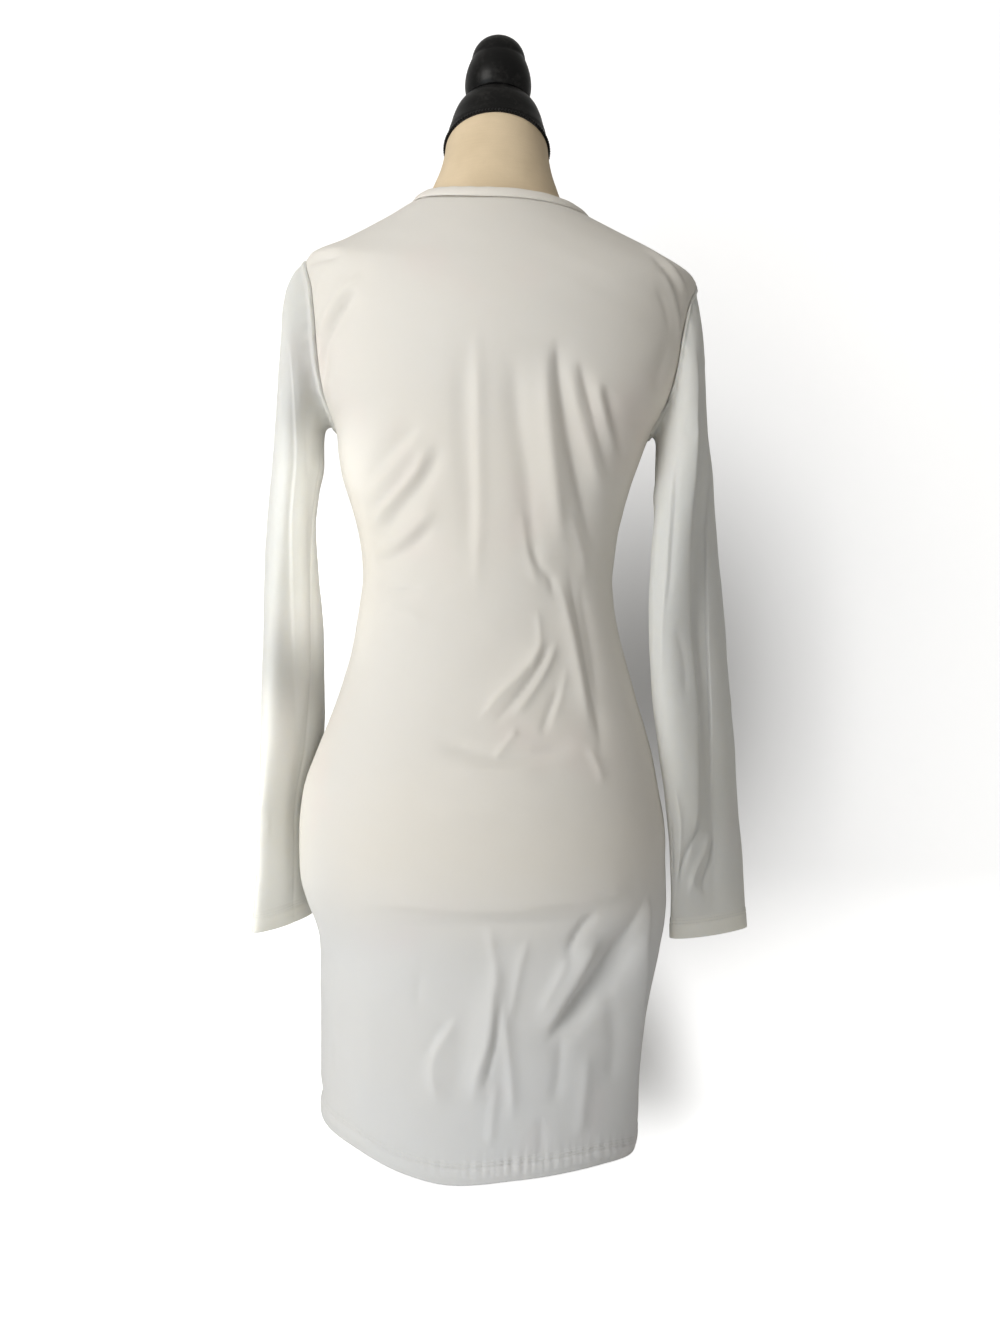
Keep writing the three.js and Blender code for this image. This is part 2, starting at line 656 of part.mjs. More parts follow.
// A large block above or below the neck's slanted top, for cutting along it.
function slantBlock(above) {
  const block = new THREE.BoxGeometry(BLOCK, BLOCK, BLOCK);
  block.translate(0, 0, (above ? 1 : -1) * (BLOCK / 2 + (above ? 0 : -CONTACT_GAP)));
  block.rotateX(-NECK_SLANT).translate(0, 0, NECK_TOP);
  return solidOf(block);
}

// Colours and finishes
const finish = (colour, roughness, metalness = 0) =>
  new THREE.MeshStandardMaterial({ color: colour, roughness, metalness });
const jersey = finish(0xe8e6df, 0.85);
const linen = finish(0xd9c6a4, 0.9);
const blackWood = finish(0x161514, 0.35);
const blackSteel = finish(0x1c1c1d, 0.45, 0.6);

const dress = new THREE.Group();
function piece(name, geometry, material) {
  const mesh = new THREE.Mesh(geometry, material);
  mesh.name = name;
  dress.add(mesh);
}

const back = panelFaces(-1);
piece("dress_back", wallGeometry(back.outer, back.inner, false, true), jersey);
const front = panelFaces(1);
piece("dress_front", wallGeometry(front.outer, front.inner, false, false), jersey);
for (const [name, sleeve] of [["sleeve_left", LEFT_SLEEVE], ["sleeve_right", RIGHT_SLEEVE]]) {
  const faces = sleeveFaces(sleeve);
  piece(name, wallGeometry(faces.outer, faces.inner, true, sleeve.side > 0), jersey);
}
const band = neckbandFaces();
piece("neckband", wallGeometry(band.outer, band.inner, true, false), jersey);

piece("form_torso", geometryFrom(solidOf(loftGeometry(formRings())).subtract(slantBlock(true))), linen);
piece("form_cap", geometryFrom(solidOf(lathe(CAP_PROFILE)).subtract(slantBlock(false))), blackWood);
piece("form_finial", lathe(FINIAL_PROFILE), blackWood);
const poleTop = FORM_BOTTOM - CONTACT_GAP;
const poleFoot = STAND.height + CONTACT_GAP;
piece(
  "stand_pole",
  lathe([
    [0, poleFoot], [POLE_COLLAR.radius, poleFoot], [POLE_COLLAR.radius, poleFoot + POLE_COLLAR.height],
    [POLE_RADIUS, poleFoot + POLE_COLLAR.height + POLE_COLLAR.slope],
    [POLE_RADIUS, poleTop - POLE_COLLAR.head - POLE_COLLAR.slope],
    [POLE_COLLAR.radius, poleTop - POLE_COLLAR.head], [POLE_COLLAR.radius, poleTop], [0, poleTop],
  ]),
  blackSteel,
);
piece(
  "stand_base",
  lathe([
    [0, 0], [STAND.radius, 0], [STAND.radius, STAND.height - STAND.edge],
    [STAND.radius - STAND.edge, STAND.height], [0, STAND.height],
  ]),
  blackSteel,
);

export default dress;
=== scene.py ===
"""A long-sleeved bodycon dress of thin off-white jersey on a limbless dress form.

Sizes are in millimetres in the tables below and become metres when a mesh is made.
+X is the wearer's right, +Y the wearer's front and +Z up. The floor is z 0.
"""

import sys

import logging
import math
from dataclasses import dataclass, field
from enum import Enum
from typing import Callable, Sequence

import bmesh
import bpy
import numpy as np
from mathutils import Matrix, Vector


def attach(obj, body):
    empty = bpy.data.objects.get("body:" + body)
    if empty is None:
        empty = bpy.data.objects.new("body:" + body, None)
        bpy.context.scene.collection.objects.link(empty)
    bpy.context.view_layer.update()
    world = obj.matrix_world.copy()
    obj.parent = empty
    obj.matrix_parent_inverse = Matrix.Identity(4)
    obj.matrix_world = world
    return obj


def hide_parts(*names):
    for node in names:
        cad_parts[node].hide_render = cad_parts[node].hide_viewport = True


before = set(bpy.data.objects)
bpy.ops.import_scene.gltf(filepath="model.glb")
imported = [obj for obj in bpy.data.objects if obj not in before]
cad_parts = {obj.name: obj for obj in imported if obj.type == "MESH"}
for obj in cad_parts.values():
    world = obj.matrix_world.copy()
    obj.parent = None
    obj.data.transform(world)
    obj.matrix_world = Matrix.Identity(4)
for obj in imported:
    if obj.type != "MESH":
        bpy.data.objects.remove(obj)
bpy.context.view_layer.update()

log = logging.getLogger("dress")

MM = 0.001
Array = np.ndarray


class Table:
    """Rows of numbers with a smooth curve through each column, read at a value of the first."""

    def __init__(self, columns: Sequence[str], rows: Sequence[Sequence[float]]) -> None:
        """Keeps the rows.

        Args:
            columns: names of the columns; the first is the one that the table is read by.
            rows: one row of numbers for each section.
        """
        self.columns = list(columns)
        self.rows = np.array(rows, dtype=float)

    def at(self, value: Array) -> dict[str, Array]:
        """Reads every column.

        Args:
            value: values of the first column.

        Returns:
            The columns by name, each with the shape of value.
        """
        value = np.asarray(value, dtype=float)
        key, rows = self.rows[:, 0], self.rows
        last = len(rows) - 1
        k = np.clip(np.searchsorted(key, value, side="right") - 1, 0, last - 1)
        before, after = np.maximum(0, k - 1), np.minimum(last, k + 2)
        span = key[k + 1] - key[k]
        t = (value - key[k]) / span
        h00, h01 = 2 * t**3 - 3 * t**2 + 1, 3 * t**2 - 2 * t**3
        h10, h11 = t**3 - 2 * t**2 + t, t**3 - t**2
        result: dict[str, Array] = {}
        for i, name in enumerate(self.columns):
            a, b = rows[k, i], rows[k + 1, i]
            slope_a = (b - rows[before, i]) / (key[k + 1] - key[before]) * span
            slope_b = (rows[after, i] - a) / (key[after] - key[k]) * span
            result[name] = a * h00 + b * h01 + slope_a * h10 + slope_b * h11
        return result


SECTION_COLUMNS = (
    "level", "left", "leftZ", "right", "rightZ", "back", "backZ", "front", "frontZ", "square",
)


def level_row(level: float, left: float, right: float, back: float, front: float, square: float) -> tuple:
    """A section whose ring lies at one height, with the yoke's columns."""
    return (level, left, level, right, level, back, level, front, level, square)


BODY = Table(
    SECTION_COLUMNS,
    [
        level_row(0, 138, 139, 106, 97, 0.02),
        level_row(45, 137.5, 144, 105, 97, 0.03),
        level_row(92, 138, 144.5, 104, 97, 0.04),
        level_row(134, 139, 150, 104, 98, 0.04),
        level_row(178, 140.5, 159.5, 105, 100, 0.03),
        level_row(200, 147, 163.5, 107, 101, 0.02),
        level_row(220, 155, 165, 111, 102, 0.02),
        level_row(238, 160.5, 164.5, 115, 103, 0.02),
        level_row(262, 162.5, 163.5, 118, 103, 0.02),
        level_row(290, 162.5, 162, 120, 103, 0.02),
        level_row(323, 158.5, 156, 119, 102, 0.02),
        level_row(359, 145.5, 148, 111, 101, 0.02),
        level_row(395, 132.5, 137, 100, 98, 0.02),
        level_row(431, 122, 126, 91, 95, 0.02),
        level_row(467, 116, 116.5, 84, 91, 0.02),
        level_row(502, 112, 111.5, 81, 88, 0.02),
        level_row(530, 114, 113.5, 83, 88, 0.02),
        level_row(556, 119.5, 117, 87, 94, 0.03),
        level_row(591, 131, 126, 93, 109, 0.05),
        level_row(612, 135, 133, 96, 116, 0.06),
        (634, 138, 634, 141, 634, 99, 634, 118, 631, 0.06),
        (662, 151, 663, 158, 661, 103, 658, 114, 650, 0.05),
        (692, 160, 694, 170, 689, 105, 682, 108, 669, 0.03),
        (722, 165, 726, 176, 717, 105, 706, 101, 687, 0.01),
        (752, 167, 757, 179.5, 746, 102, 729, 94, 704, 0),
        (782, 166, 788, 179, 775, 96, 752, 88, 719, 0),
        (800, 137, 801.5, 149, 795, 88, 773, 83, 730, 0),
        (817, 107, 817.5, 119, 809.5, 76, 797, 76, 741, 0),
        (835, 76, 838, 88, 824, 61, 822.5, 68, 750, 0),
    ],
)

HEM_RISE = Table(
    ("angle", "rise"),
    [
        (-20, -9), (0, -12), (45, -4), (90, 1), (135, 7), (180, 14), (222, 12),
        (246, 0), (262, -5), (285, -1), (315, 0), (340, -9), (360, -12), (405, -4),
    ],
)

NECK_EDGE = dict(
    left=67.0, leftZ=845.5, right=79.5, rightZ=831.0,
    back=57.5, backZ=832.0, front=62.5, frontZ=759.0, square=0.0,
)

# How far the form lies inside the cloth's outer face
FORM_INSET = Table(
    ("level", "side", "back", "front"),
    [
        (228, 3.8, 6, 4.6), (252, 3.2, 4.4, 3.6), (300, 3, 2.6, 3.2), (345, 3.4, 5, 3.6),
        (400, 3.6, 11, 4), (450, 3.6, 13, 4.5), (502, 3.4, 12, 4.5), (560, 3.4, 9, 5),
        (612, 3.6, 5.5, 4.2), (634, 6, 4.5, 3.4), (662, 12, 3.6, 3.2), (700, 12, 3.2, 3.4),
        (740, 8, 3.0, 3.6), (775, 3.4, 2.8, 3.4), (800, 2.2, 2.4, 3), (835, 2.2, 3, 4.6),
    ],
)
FORM_NECK = (
    (846, 61.5, 846, 63, 839, 53, 831, 54.5, 768, 0),
    (858, 55, 858, 55, 855, 50, 850, 50.5, 806, 0),
    (872, 49.5, 872, 49.5, 871, 47.5, 875, 46.5, 842, 0),
    (892, 45.9, 892, 45.9, 892, 45.7, 897, 45.9, 872, 0),
    (925, 45.6, 925, 45.6, 925, 45.6, 930, 45.6, 905, 0),
)

HEM_LEVEL, ARMPIT_LEVEL, TIP_LEVEL, NECK_LEVEL = 20.0, 634.0, 782.0, 835.0
HEM_WARP_TOP = 190.0
ARMHOLE_ANGLE = math.radians(23)
ARMHOLE_OVAL = 0.9
DIP_BACK, DIP_FRONT = 2.0, 2.6
FORM_BOTTOM, FORM_EDGE, YOKE_DROP = 228.0, 8.0, 2.6
NECK_TOP, NECK_SLANT = 889.5, math.radians(15)


# Folds
@dataclass(frozen=True)
class Fold:
    """A soft crease along a curve, seen square on from behind or in front.

    A positive height is a ridge and a negative one a trough. The two flanks may differ, which
    makes one side of the crease steeper. A crest above 1 is rounder, below 1 sharper.
    """

    points: tuple[tuple[float, float], ...]
    left: float
    right: float
    height: float
    crest: float = 1.6
    head: float = 0.25
    tail: float = 0.25

    def lift(self, x: Array, z: Array) -> Array:
        """Height of the crease at places on the cloth.

        Args:
            x: places across, mm.
            z: places up, mm.

        Returns:
            How far the cloth stands proud there, mm.
        """
        curve = smooth_line(np.array(self.points, dtype=float), 28)
        reach = 3.2 * max(self.left, self.right)
        low, high = curve.min(axis=0) - reach, curve.max(axis=0) + reach
        near = (x > low[0]) & (x < high[0]) & (z > low[1]) & (z < high[1])
        lift = np.zeros(x.shape)
        lift[near] = self.lift_near(curve, x[near], z[near])
        return lift

    def lift_near(self, curve: Array, x: Array, z: Array) -> Array:
        """Height of the crease at places close to it.

        Args:
            curve: points along the crease.
            x: places across, mm.
            z: places up, mm.

        Returns:
            How far the cloth stands proud there, mm.
        """
        best = np.full(x.shape, 1e9)
        along = np.zeros(x.shape)
        side = np.zeros(x.shape)
        steps = len(curve) - 1
        for i in range(steps):
            (x0, z0), (x1, z1) = curve[i], curve[i + 1]
            dx, dz = x1 - x0, z1 - z0
            t = np.clip(((x - x0) * dx + (z - z0) * dz) / (dx * dx + dz * dz), 0, 1)
            away = np.hypot(x - x0 - t * dx, z - z0 - t * dz)
            nearer = away < best
            best = np.where(nearer, away, best)
            along = np.where(nearer, (i + t) / steps, along)
            side = np.where(nearer, np.sign(dx * (z - z0) - dz * (x - x0)), side)
        if curve[-1][1] < curve[0][1]:
            side = -side
        width = np.where(side > 0, self.left, self.right)
        start = smooth_step(along / max(self.head, 1e-6))
        end = smooth_step((1 - along) / max(self.tail, 1e-6))
        return self.height * start * end * np.exp(-((best / width) ** self.crest))


def smooth_step(t: Array) -> Array:
    """Rises softly from 0 to 1 as t does."""
    t = np.clip(t, 0, 1)
    return t * t * (3 - 2 * t)


def fade(t: Array) -> Array:
    """Falls softly from 1 to 0 as t rises from 0 to 1."""
    return 1 - smooth_step(t)


def smooth_line(points: Array, steps: int) -> Array:
    """A smooth curve through points.

    Args:
        points: rows of coordinates.
        steps: number of pieces of the curve.

    Returns:
        steps + 1 rows of coordinates.
    """
    gaps = np.linalg.norm(np.diff(points, axis=0), axis=1)
    run = np.concatenate([[0], np.cumsum(gaps)])
    names = [str(i) for i in range(points.shape[1])]
    if len(points) == 2:
        t = np.linspace(0, 1, steps + 1)[:, None]
        return points[0] * (1 - t) + points[1] * t
    curve = Table(["run", *names], np.column_stack([run, points]).tolist()).at(
        np.linspace(0, run[-1], steps + 1)
    )
    return np.column_stack([curve[name] for name in names])


def bow(from_x: float, from_z: float, via_x: float, via_z: float, to_x: float, to_z: float) -> tuple:
    """Points of a fold that bends once between its ends."""
    points = []
    for t in (0, 0.25, 0.5, 0.75, 1):
        a, b, c = (1 - t) ** 2, 2 * t * (1 - t), t * t
        points.append((from_x * a + via_x * b + to_x * c, from_z * a + via_z * b + to_z * c))
    return tuple(points)


BACK_FOLDS = (
    Fold(bow(-46, 606, -68, 574, -106, 548), 12, 10, 2.6, 2, 0.4, 0.4),
    Fold(bow(-36, 572, -62, 536, -100, 512), 12, 10, 2.4, 2, 0.4, 0.4),
    Fold(bow(42, 684, 50, 600, 68, 512), 12, 10, 3.0, 2, 0.4, 0.4),
    Fold(bow(84, 668, 88, 610, 104, 552), 10, 12, 2.6, 2, 0.4, 0.4),
    Fold(bow(60, 500, 74, 440, 90, 372), 10, 12, 2.4, 2, 0.4, 0.4),
    Fold(bow(62, 462, 34, 420, -2, 384), 14, 12, 2.8, 2, 0.4, 0.4),
    Fold(bow(142, 228, 108, 178, 48, 116), 15, 11, -7.5, 2, 0.3, 0.4),
    Fold(bow(139, 236, 137, 150, 134, 34), 16, 11, 3.5, 2, 0.3, 0.3),
    Fold(bow(14, 200, 12, 140, -4, 60), 13, 11, 4.0, 2, 0.4, 0.4),
    Fold(bow(-14, 154, -36, 110, -28, 66), 11, 13, 2.2, 2, 0.4, 0.4),
    Fold(bow(96, 214, 76, 168, 48, 124), 12, 9, 3.6, 2, 0.3, 0.4),
)
FRONT_FOLDS = (
    Fold(bow(-40, 600, -72, 560, -104, 522), 14, 10, 2.8, 2, 0.4, 0.4),
    Fold(bow(36, 604, 76, 556, 108, 516), 10, 14, 2.8, 2, 0.4, 0.4),
    Fold(bow(-52, 512, -24, 450, 6, 402), 12, 14, 2.6, 2, 0.4, 0.4),
    Fold(bow(60, 500, 26, 446, -2, 380), 14, 12, 2.4, 2, 0.4, 0.4),
    Fold(bow(-96, 236, -70, 150, -76, 44), 16, 14, 4.2, 2, 0.4, 0.4),
    Fold(bow(-14, 214, -4, 130, -18, 46), 14, 16, -4.0, 2, 0.4, 0.4),
    Fold(bow(72, 232, 58, 150, 66, 42), 14, 14, 4.2, 2, 0.4, 0.4),
)


# Surfaces
def ring_point(section: dict[str, Array], angle: Array) -> Array:
    """A point of a ring of the body.

    Args:
        section: half-widths, depths and heights of the ring.
        angle: 0 at the wearer's right, 90 degrees at the front, in radians.

    Returns:
        Points, with x, y, z on the last axis.
    """
    c, s = np.cos(angle), np.sin(angle)
    bulge = 1 + section["square"] * np.sin(2 * angle) ** 2
    across = np.where(c < 0, section["left"], section["right"])
    deep = np.where(s < 0, section["back"], section["front"])
    side_z = np.where(c < 0, section["leftZ"], section["rightZ"])
    middle_z = np.where(s < 0, section["backZ"], section["frontZ"])
    dip = np.where(s < 0, DIP_BACK, DIP_FRONT)
    z = middle_z + (side_z - middle_z) * np.abs(c) ** dip
    return np.stack([across * c * bulge, deep * s * bulge, z], axis=-1)


def base_point(level: Array, angle: Array) -> Array:
    """A point of the body's plain surface, with the hem's rise and fall."""
    p = ring_point(BODY.at(level), angle)
    degrees = np.mod(np.degrees(angle), 360)
    rise = HEM_RISE.at(degrees)["rise"]
    p[..., 2] += rise * fade((level - HEM_LEVEL) / (HEM_WARP_TOP - HEM_LEVEL))
    return p


def unit(v: Array) -> Array:
    """Vectors made one long."""
    return v / np.maximum(np.linalg.norm(v, axis=-1, keepdims=True), 1e-9)


def normal_of(
    surface: Callable[[Array, Array], Array], row: Array, column: Array, row_step: float, column_step: float
) -> Array:
    """Unit normals of a surface from its slopes.

    Args:
        surface: gives points for rows and columns.
        row: row values.
        column: column values.
        row_step: half of the step over which the row's slope is measured.
        column_step: the same for the column.

    Returns:
        Unit normals, outward where columns run counter-clockwise and rows upward.
    """
    along_row = surface(row + row_step, column) - surface(row - row_step, column)
    along_column = surface(row, column + column_step) - surface(row, column - column_step)
    return unit(np.cross(along_column, along_row))


def armhole_angle(level: Array) -> Array:
    """Half of the angle that the armhole takes out of a section."""
    t = np.clip((level - ARMPIT_LEVEL) / (TIP_LEVEL - ARMPIT_LEVEL), 0, 1)
    return ARMHOLE_ANGLE * (2 * np.sqrt(t * (1 - t))) ** ARMHOLE_OVAL


def cloth_point(level: Array, angle: Array) -> Array:
    """A point of the dress body's outer face, with its large folds."""
    p = base_point(level, angle)
    x, z = p[..., 0], p[..., 2]
    s = np.sin(angle)
    back = sum(f.lift(x, z) for f in BACK_FOLDS)
    front = sum(f.lift(x, z) for f in FRONT_FOLDS)
    lift = np.where(s < 0, back, front) * np.sqrt(np.abs(s))
    normal = normal_of(base_point, level, angle, 0.5, 0.004)
    return p + normal * lift[..., None]


def grid_normals(points: Array, around: bool) -> Array:
    """Outward unit normals of a grid of points.

    Args:
        points: rows by columns by 3.
        around: whether the columns close on themselves.

    Returns:
        Unit normals with the shape of points.
    """
    if around:
        along_column = np.roll(points, -1, axis=1) - np.roll(points, 1, axis=1)
    else:
        along_column = np.gradient(points, axis=1)
    along_row = np.gradient(points, axis=0)
    return unit(np.cross(along_column, along_row))


def run_along(points: Array, axis: int) -> Array:
    """Distance run along one axis of a grid, from its start."""
    steps = np.linalg.norm(np.diff(points, axis=axis), axis=-1)
    run = np.cumsum(steps, axis=axis)
    start = np.zeros_like(np.take(run, [0], axis=axis))
    return np.concatenate([start, run], axis=axis)


def undulation(points: Array, seed: int) -> Array:
    """A slow, shallow unevenness of slack cloth, about 1 either way.

    Args:
        points: places, mm.
        seed: chooses the waves.

    Returns:
        Heights with the shape of points but for its last axis.
    """
    source = np.random.default_rng(seed)
    total = np.zeros(points.shape[:-1])
    for wavelength in (95, 64, 43, 29, 21):
        way = unit(source.normal(size=3))
        phase = source.uniform(0, 2 * math.pi)
        total += np.sin(points @ way * (2 * math.pi / wavelength) + phase) * (wavelength / 95) ** 0.8
    return total / 2


# Mesh making
def shell_mesh(name: str, outer: Array, inner: Array, uv: Array, around: bool, flip: bool) -> bpy.types.Mesh:
    """The closed wall between two grids of points, its inner face half as fine as its outer one.

    Args:
        name: name of the mesh.
        outer: points of the outer face, mm. It has an odd number of rows, and of columns too
            unless it goes round.
        inner: points of the inner face in the same places, mm.
        uv: places in the flat cloth in metres, with one more column than the points if around.
        around: whether the columns close on themselves.
        flip: turns the faces over.

    Returns:
        The mesh, in metres, with a UV map and smooth faces.
    """
    inner = inner[::2, ::2]
    uv_inner = uv[::2, ::2]
    index = np.arange(outer[..., 0].size).reshape(outer.shape[:2])
    under = np.arange(inner[..., 0].size).reshape(inner.shape[:2])
    if around:
        index = np.concatenate([index, index[:, :1]], axis=1)
        under = np.concatenate([under, under[:, :1]], axis=1)
    under = under + outer[..., 0].size
    k = np.arange(index.size).reshape(index.shape)
    m = np.arange(under.size).reshape(under.shape) + index.size
    faces: list[list[int]] = []
    places: list[list[int]] = []

    def cover(grid: Array, spots: Array, turned: bool) -> None:
        for source, target in ((grid, faces), (spots, places)):
            corners = [source[:-1, :-1], source[:-1, 1:], source[1:, 1:], source[1:, :-1]]
            target += np.stack(corners[::-1] if turned else corners, axis=-1).reshape(-1, 4).tolist()

    def rim(line: Array, below: Array, line_k: Array, below_k: Array, turned: bool) -> None:
        for source, low, target in ((line, below, faces), (line_k, below_k, places)):
            corners = [source[:-1:2], low[:-1], low[1:], source[2::2], source[1::2]]
            target += np.stack(corners[::-1] if turned else corners, axis=-1).tolist()

    cover(index, k, False)
    cover(under, m, True)
    rim(index[0], under[0], k[0], m[0], False)
    rim(index[-1], under[-1], k[-1], m[-1], True)
    if not around:
        rim(index[:, 0], under[:, 0], k[:, 0], m[:, 0], True)
        rim(index[:, -1], under[:, -1], k[:, -1], m[:, -1], False)
    if flip:
        faces = [face[::-1] for face in faces]
        places = [place[::-1] for place in places]
    points = np.concatenate([outer.reshape(-1, 3), inner.reshape(-1, 3)]) * MM
    spots = np.concatenate([uv.reshape(-1, 2), uv_inner.reshape(-1, 2)])
    return plain_mesh(name, points, faces, spots[np.concatenate([np.array(p) for p in places])])


def plain_mesh(name: str, points: Array, faces: Array | list, uv: Array | None = None) -> bpy.types.Mesh:
    """A mesh with smooth faces.

    Args:
        name: name of the mesh.
        points: corners, m.
        faces: rows of corner numbers.
        uv: one place for each face corner, or None.

    Returns:
        The mesh.
    """
    mesh = bpy.data.meshes.new(name)
    face_list = faces if isinstance(faces, list) else faces.tolist()
    mesh.from_pydata(np.asarray(points).tolist(), [], face_list)
    mesh.polygons.foreach_set("use_smooth", [True] * len(mesh.polygons))
    if uv is not None:
        layer = mesh.uv_layers.new(name="cloth")
        layer.data.foreach_set("uv", np.asarray(uv, dtype=np.float32).reshape(-1))
    mesh.update()
    return mesh


def add_piece(
    name: str, mesh: bpy.types.Mesh, material: bpy.types.Material, replaces: Sequence[str] = ()
) -> bpy.types.Object:
    """Puts a mesh in the scene as a piece of the object.

    Args:
        name: name of the piece.
        mesh: its mesh, already in place.
        material: its finish.
        replaces: names of the frame's nodes that it stands for.

    Returns:
        The piece.
    """
    piece = bpy.data.objects.new(name, mesh)
    bpy.context.scene.collection.objects.link(piece)
    mesh.materials.clear()
    mesh.materials.append(material)
    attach(piece, "root")
    if replaces:
        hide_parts(*replaces)
    log.info("%s: %d faces", name, len(mesh.polygons))
    return piece


def turned_mesh(name: str, profile: Sequence[tuple[float, float]], segments: int, steps: int) -> bpy.types.Mesh:
    """A solid turned round the upright axis.

    Args:
        name: name of the mesh.
        profile: radius and height of points from the lowest to the highest, mm.
        segments: faces round it.
        steps: rings between two points of the profile; 1 keeps the corners.

    Returns:
        The closed mesh.
    """
    line = smooth_line(np.array(profile, dtype=float), steps * (len(profile) - 1)) if steps > 1 else np.array(profile)
    angle = np.linspace(0, 2 * math.pi, segments, endpoint=False)
    rings = [
        np.column_stack([r * np.cos(angle), r * np.sin(angle), np.full(segments, z)]) for r, z in line
    ]
    return ringed_mesh(name, rings)


def ringed_mesh(name: str, rings: Sequence[Array]) -> bpy.types.Mesh:
    """A solid through rings of points, closed at both ends.

    Args:
        name: name of the mesh.
        rings: rings from the lowest to the highest, each counter-clockwise from above, mm.

    Returns:
        The closed mesh.
    """
    count = len(rings[0])
    points = np.concatenate([*rings, rings[0].mean(axis=0)[None], rings[-1].mean(axis=0)[None]])
    j = np.arange(count)
    n = (j + 1) % count
    faces: list[list[int]] = []
    for i in range(len(rings) - 1):
        low, high = i * count, (i + 1) * count
        faces += np.column_stack([low + j, low + n, high + n, high + j]).tolist()
    bottom, top, last = len(points) - 2, len(points) - 1, (len(rings) - 1) * count
    faces += np.column_stack([np.full(count, bottom), n, j]).tolist()
    faces += np.column_stack([np.full(count, top), last + j, last + n]).tolist()
    return plain_mesh(name, points * MM, faces)


# Shader groups
class NodeSheet:
    """A node tree with short ways to add and join nodes."""

    def __init__(self, tree: bpy.types.NodeTree) -> None:
        """Keeps the tree."""
        self.tree = tree
        self.count = 0

    def add(self, kind: str, values: dict | None = None, **settings: object) -> bpy.types.Node:
        """Adds a node.

        Args:
            kind: its type.
            values: input sockets by name or number, each a value or an output socket to join.
            settings: the node's own settings.

        Returns:
            The node.
        """
        node = self.tree.nodes.new(kind)
        node.location = (180 * (self.count % 12), -220 * (self.count // 12))
        self.count += 1
        for key, value in settings.items():
            setattr(node, key, value)
        for key, value in (values or {}).items():
            if isinstance(value, bpy.types.NodeSocket):
                self.tree.links.new(value, node.inputs[key])
            else:
                node.inputs[key].default_value = value
        return node

    def math(self, operation: str, a: object, b: object = 0.0, c: object = 0.0) -> bpy.types.NodeSocket:
        """Output of a math node."""
        return self.add("ShaderNodeMath", {0: a, 1: b, 2: c}, operation=operation).outputs[0]

    def blend(self, factor: object, first: object, second: object, kind: str = "MIX") -> bpy.types.NodeSocket:
        """Colour output of a mix of two colours."""
        node = self.add("ShaderNodeMix", {"Factor": factor}, data_type="RGBA", blend_type=kind)
        for socket, value in ((node.inputs[6], first), (node.inputs[7], second)):
            if isinstance(value, bpy.types.NodeSocket):
                self.tree.links.new(value, socket)
            else:
                socket.default_value = value
        return node.outputs[2]


def new_group(name: str, inputs: dict[str, tuple[str, float]], outputs: dict[str, str]) -> NodeSheet:
    """A shader node group with its sockets.

    Args:
        name: the group's name.
        inputs: name of each input to its socket type and first value.
        outputs: name of each output to its socket type.

    Returns:
        The group's sheet, with nodes named inputs and outputs.
    """
    tree = bpy.data.node_groups.new(name, "ShaderNodeTree")
    for key, (kind, value) in inputs.items():
        socket = tree.interface.new_socket(key, in_out="INPUT", socket_type=kind)
        if kind == "NodeSocketFloat":
            socket.default_value = value
    for key, kind in outputs.items():
        tree.interface.new_socket(key, in_out="OUTPUT", socket_type=kind)
    sheet = NodeSheet(tree)
    sheet.add("NodeGroupInput", name="inputs")
    sheet.add("NodeGroupOutput", name="outputs")
    return sheet


FLOAT, VECTOR, COLOUR = "NodeSocketFloat", "NodeSocketVector", "NodeSocketColor"


def knit_group() -> bpy.types.NodeTree:
    """Loops of a fine jersey knit: columns of small V shapes. The place is in metres of flat cloth."""
    sheet = new_group(
        "knit_loops",
        {"Place": (VECTOR, 0), "Columns per m": (FLOAT, 1700), "Rows per m": (FLOAT, 2100)},
        {"Height": FLOAT},
    )
    source, target = sheet.tree.nodes["inputs"], sheet.tree.nodes["outputs"]
    split = sheet.add("ShaderNodeSeparateXYZ", {0: source.outputs["Place"]})
    u = sheet.math("MULTIPLY", split.outputs[0], source.outputs["Columns per m"])
    v = sheet.math("MULTIPLY", split.outputs[1], source.outputs["Rows per m"])
    column = sheet.math("PINGPONG", u, 0.5)
    slant = sheet.math("MULTIPLY_ADD", column, 1.4, v)
    loop = sheet.math("ABSOLUTE", sheet.math("SINE", sheet.math("MULTIPLY", slant, math.pi)))
    valley = sheet.math("SINE", sheet.math("MULTIPLY", column, 2 * math.pi))
    height = sheet.math("MULTIPLY", loop, sheet.math("POWER", sheet.math("ABSOLUTE", valley), 0.6))
    sheet.tree.links.new(height, target.inputs["Height"])
    return sheet.tree


def mottle_group() -> bpy.types.NodeTree:
    """Slow, uneven patches of tone."""
    sheet = new_group(
        "soft_mottle",
        {"Place": (VECTOR, 0), "Scale": (FLOAT, 5), "Detail": (FLOAT, 3), "Low": (FLOAT, 0.35), "High": (FLOAT, 0.65)},
        {"Mask": FLOAT},
    )
    source, target = sheet.tree.nodes["inputs"], sheet.tree.nodes["outputs"]
    noise = sheet.add(
        "ShaderNodeTexNoise",
        {"Vector": source.outputs["Place"], "Scale": source.outputs["Scale"], "Detail": source.outputs["Detail"]},
    )
    ramp = sheet.add(
        "ShaderNodeMapRange",
        {"Value": noise.outputs[0], "From Min": source.outputs["Low"], "From Max": source.outputs["High"]},
        interpolation_type="SMOOTHSTEP",
    )
    sheet.tree.links.new(ramp.outputs[0], target.inputs["Mask"])
    return sheet.tree


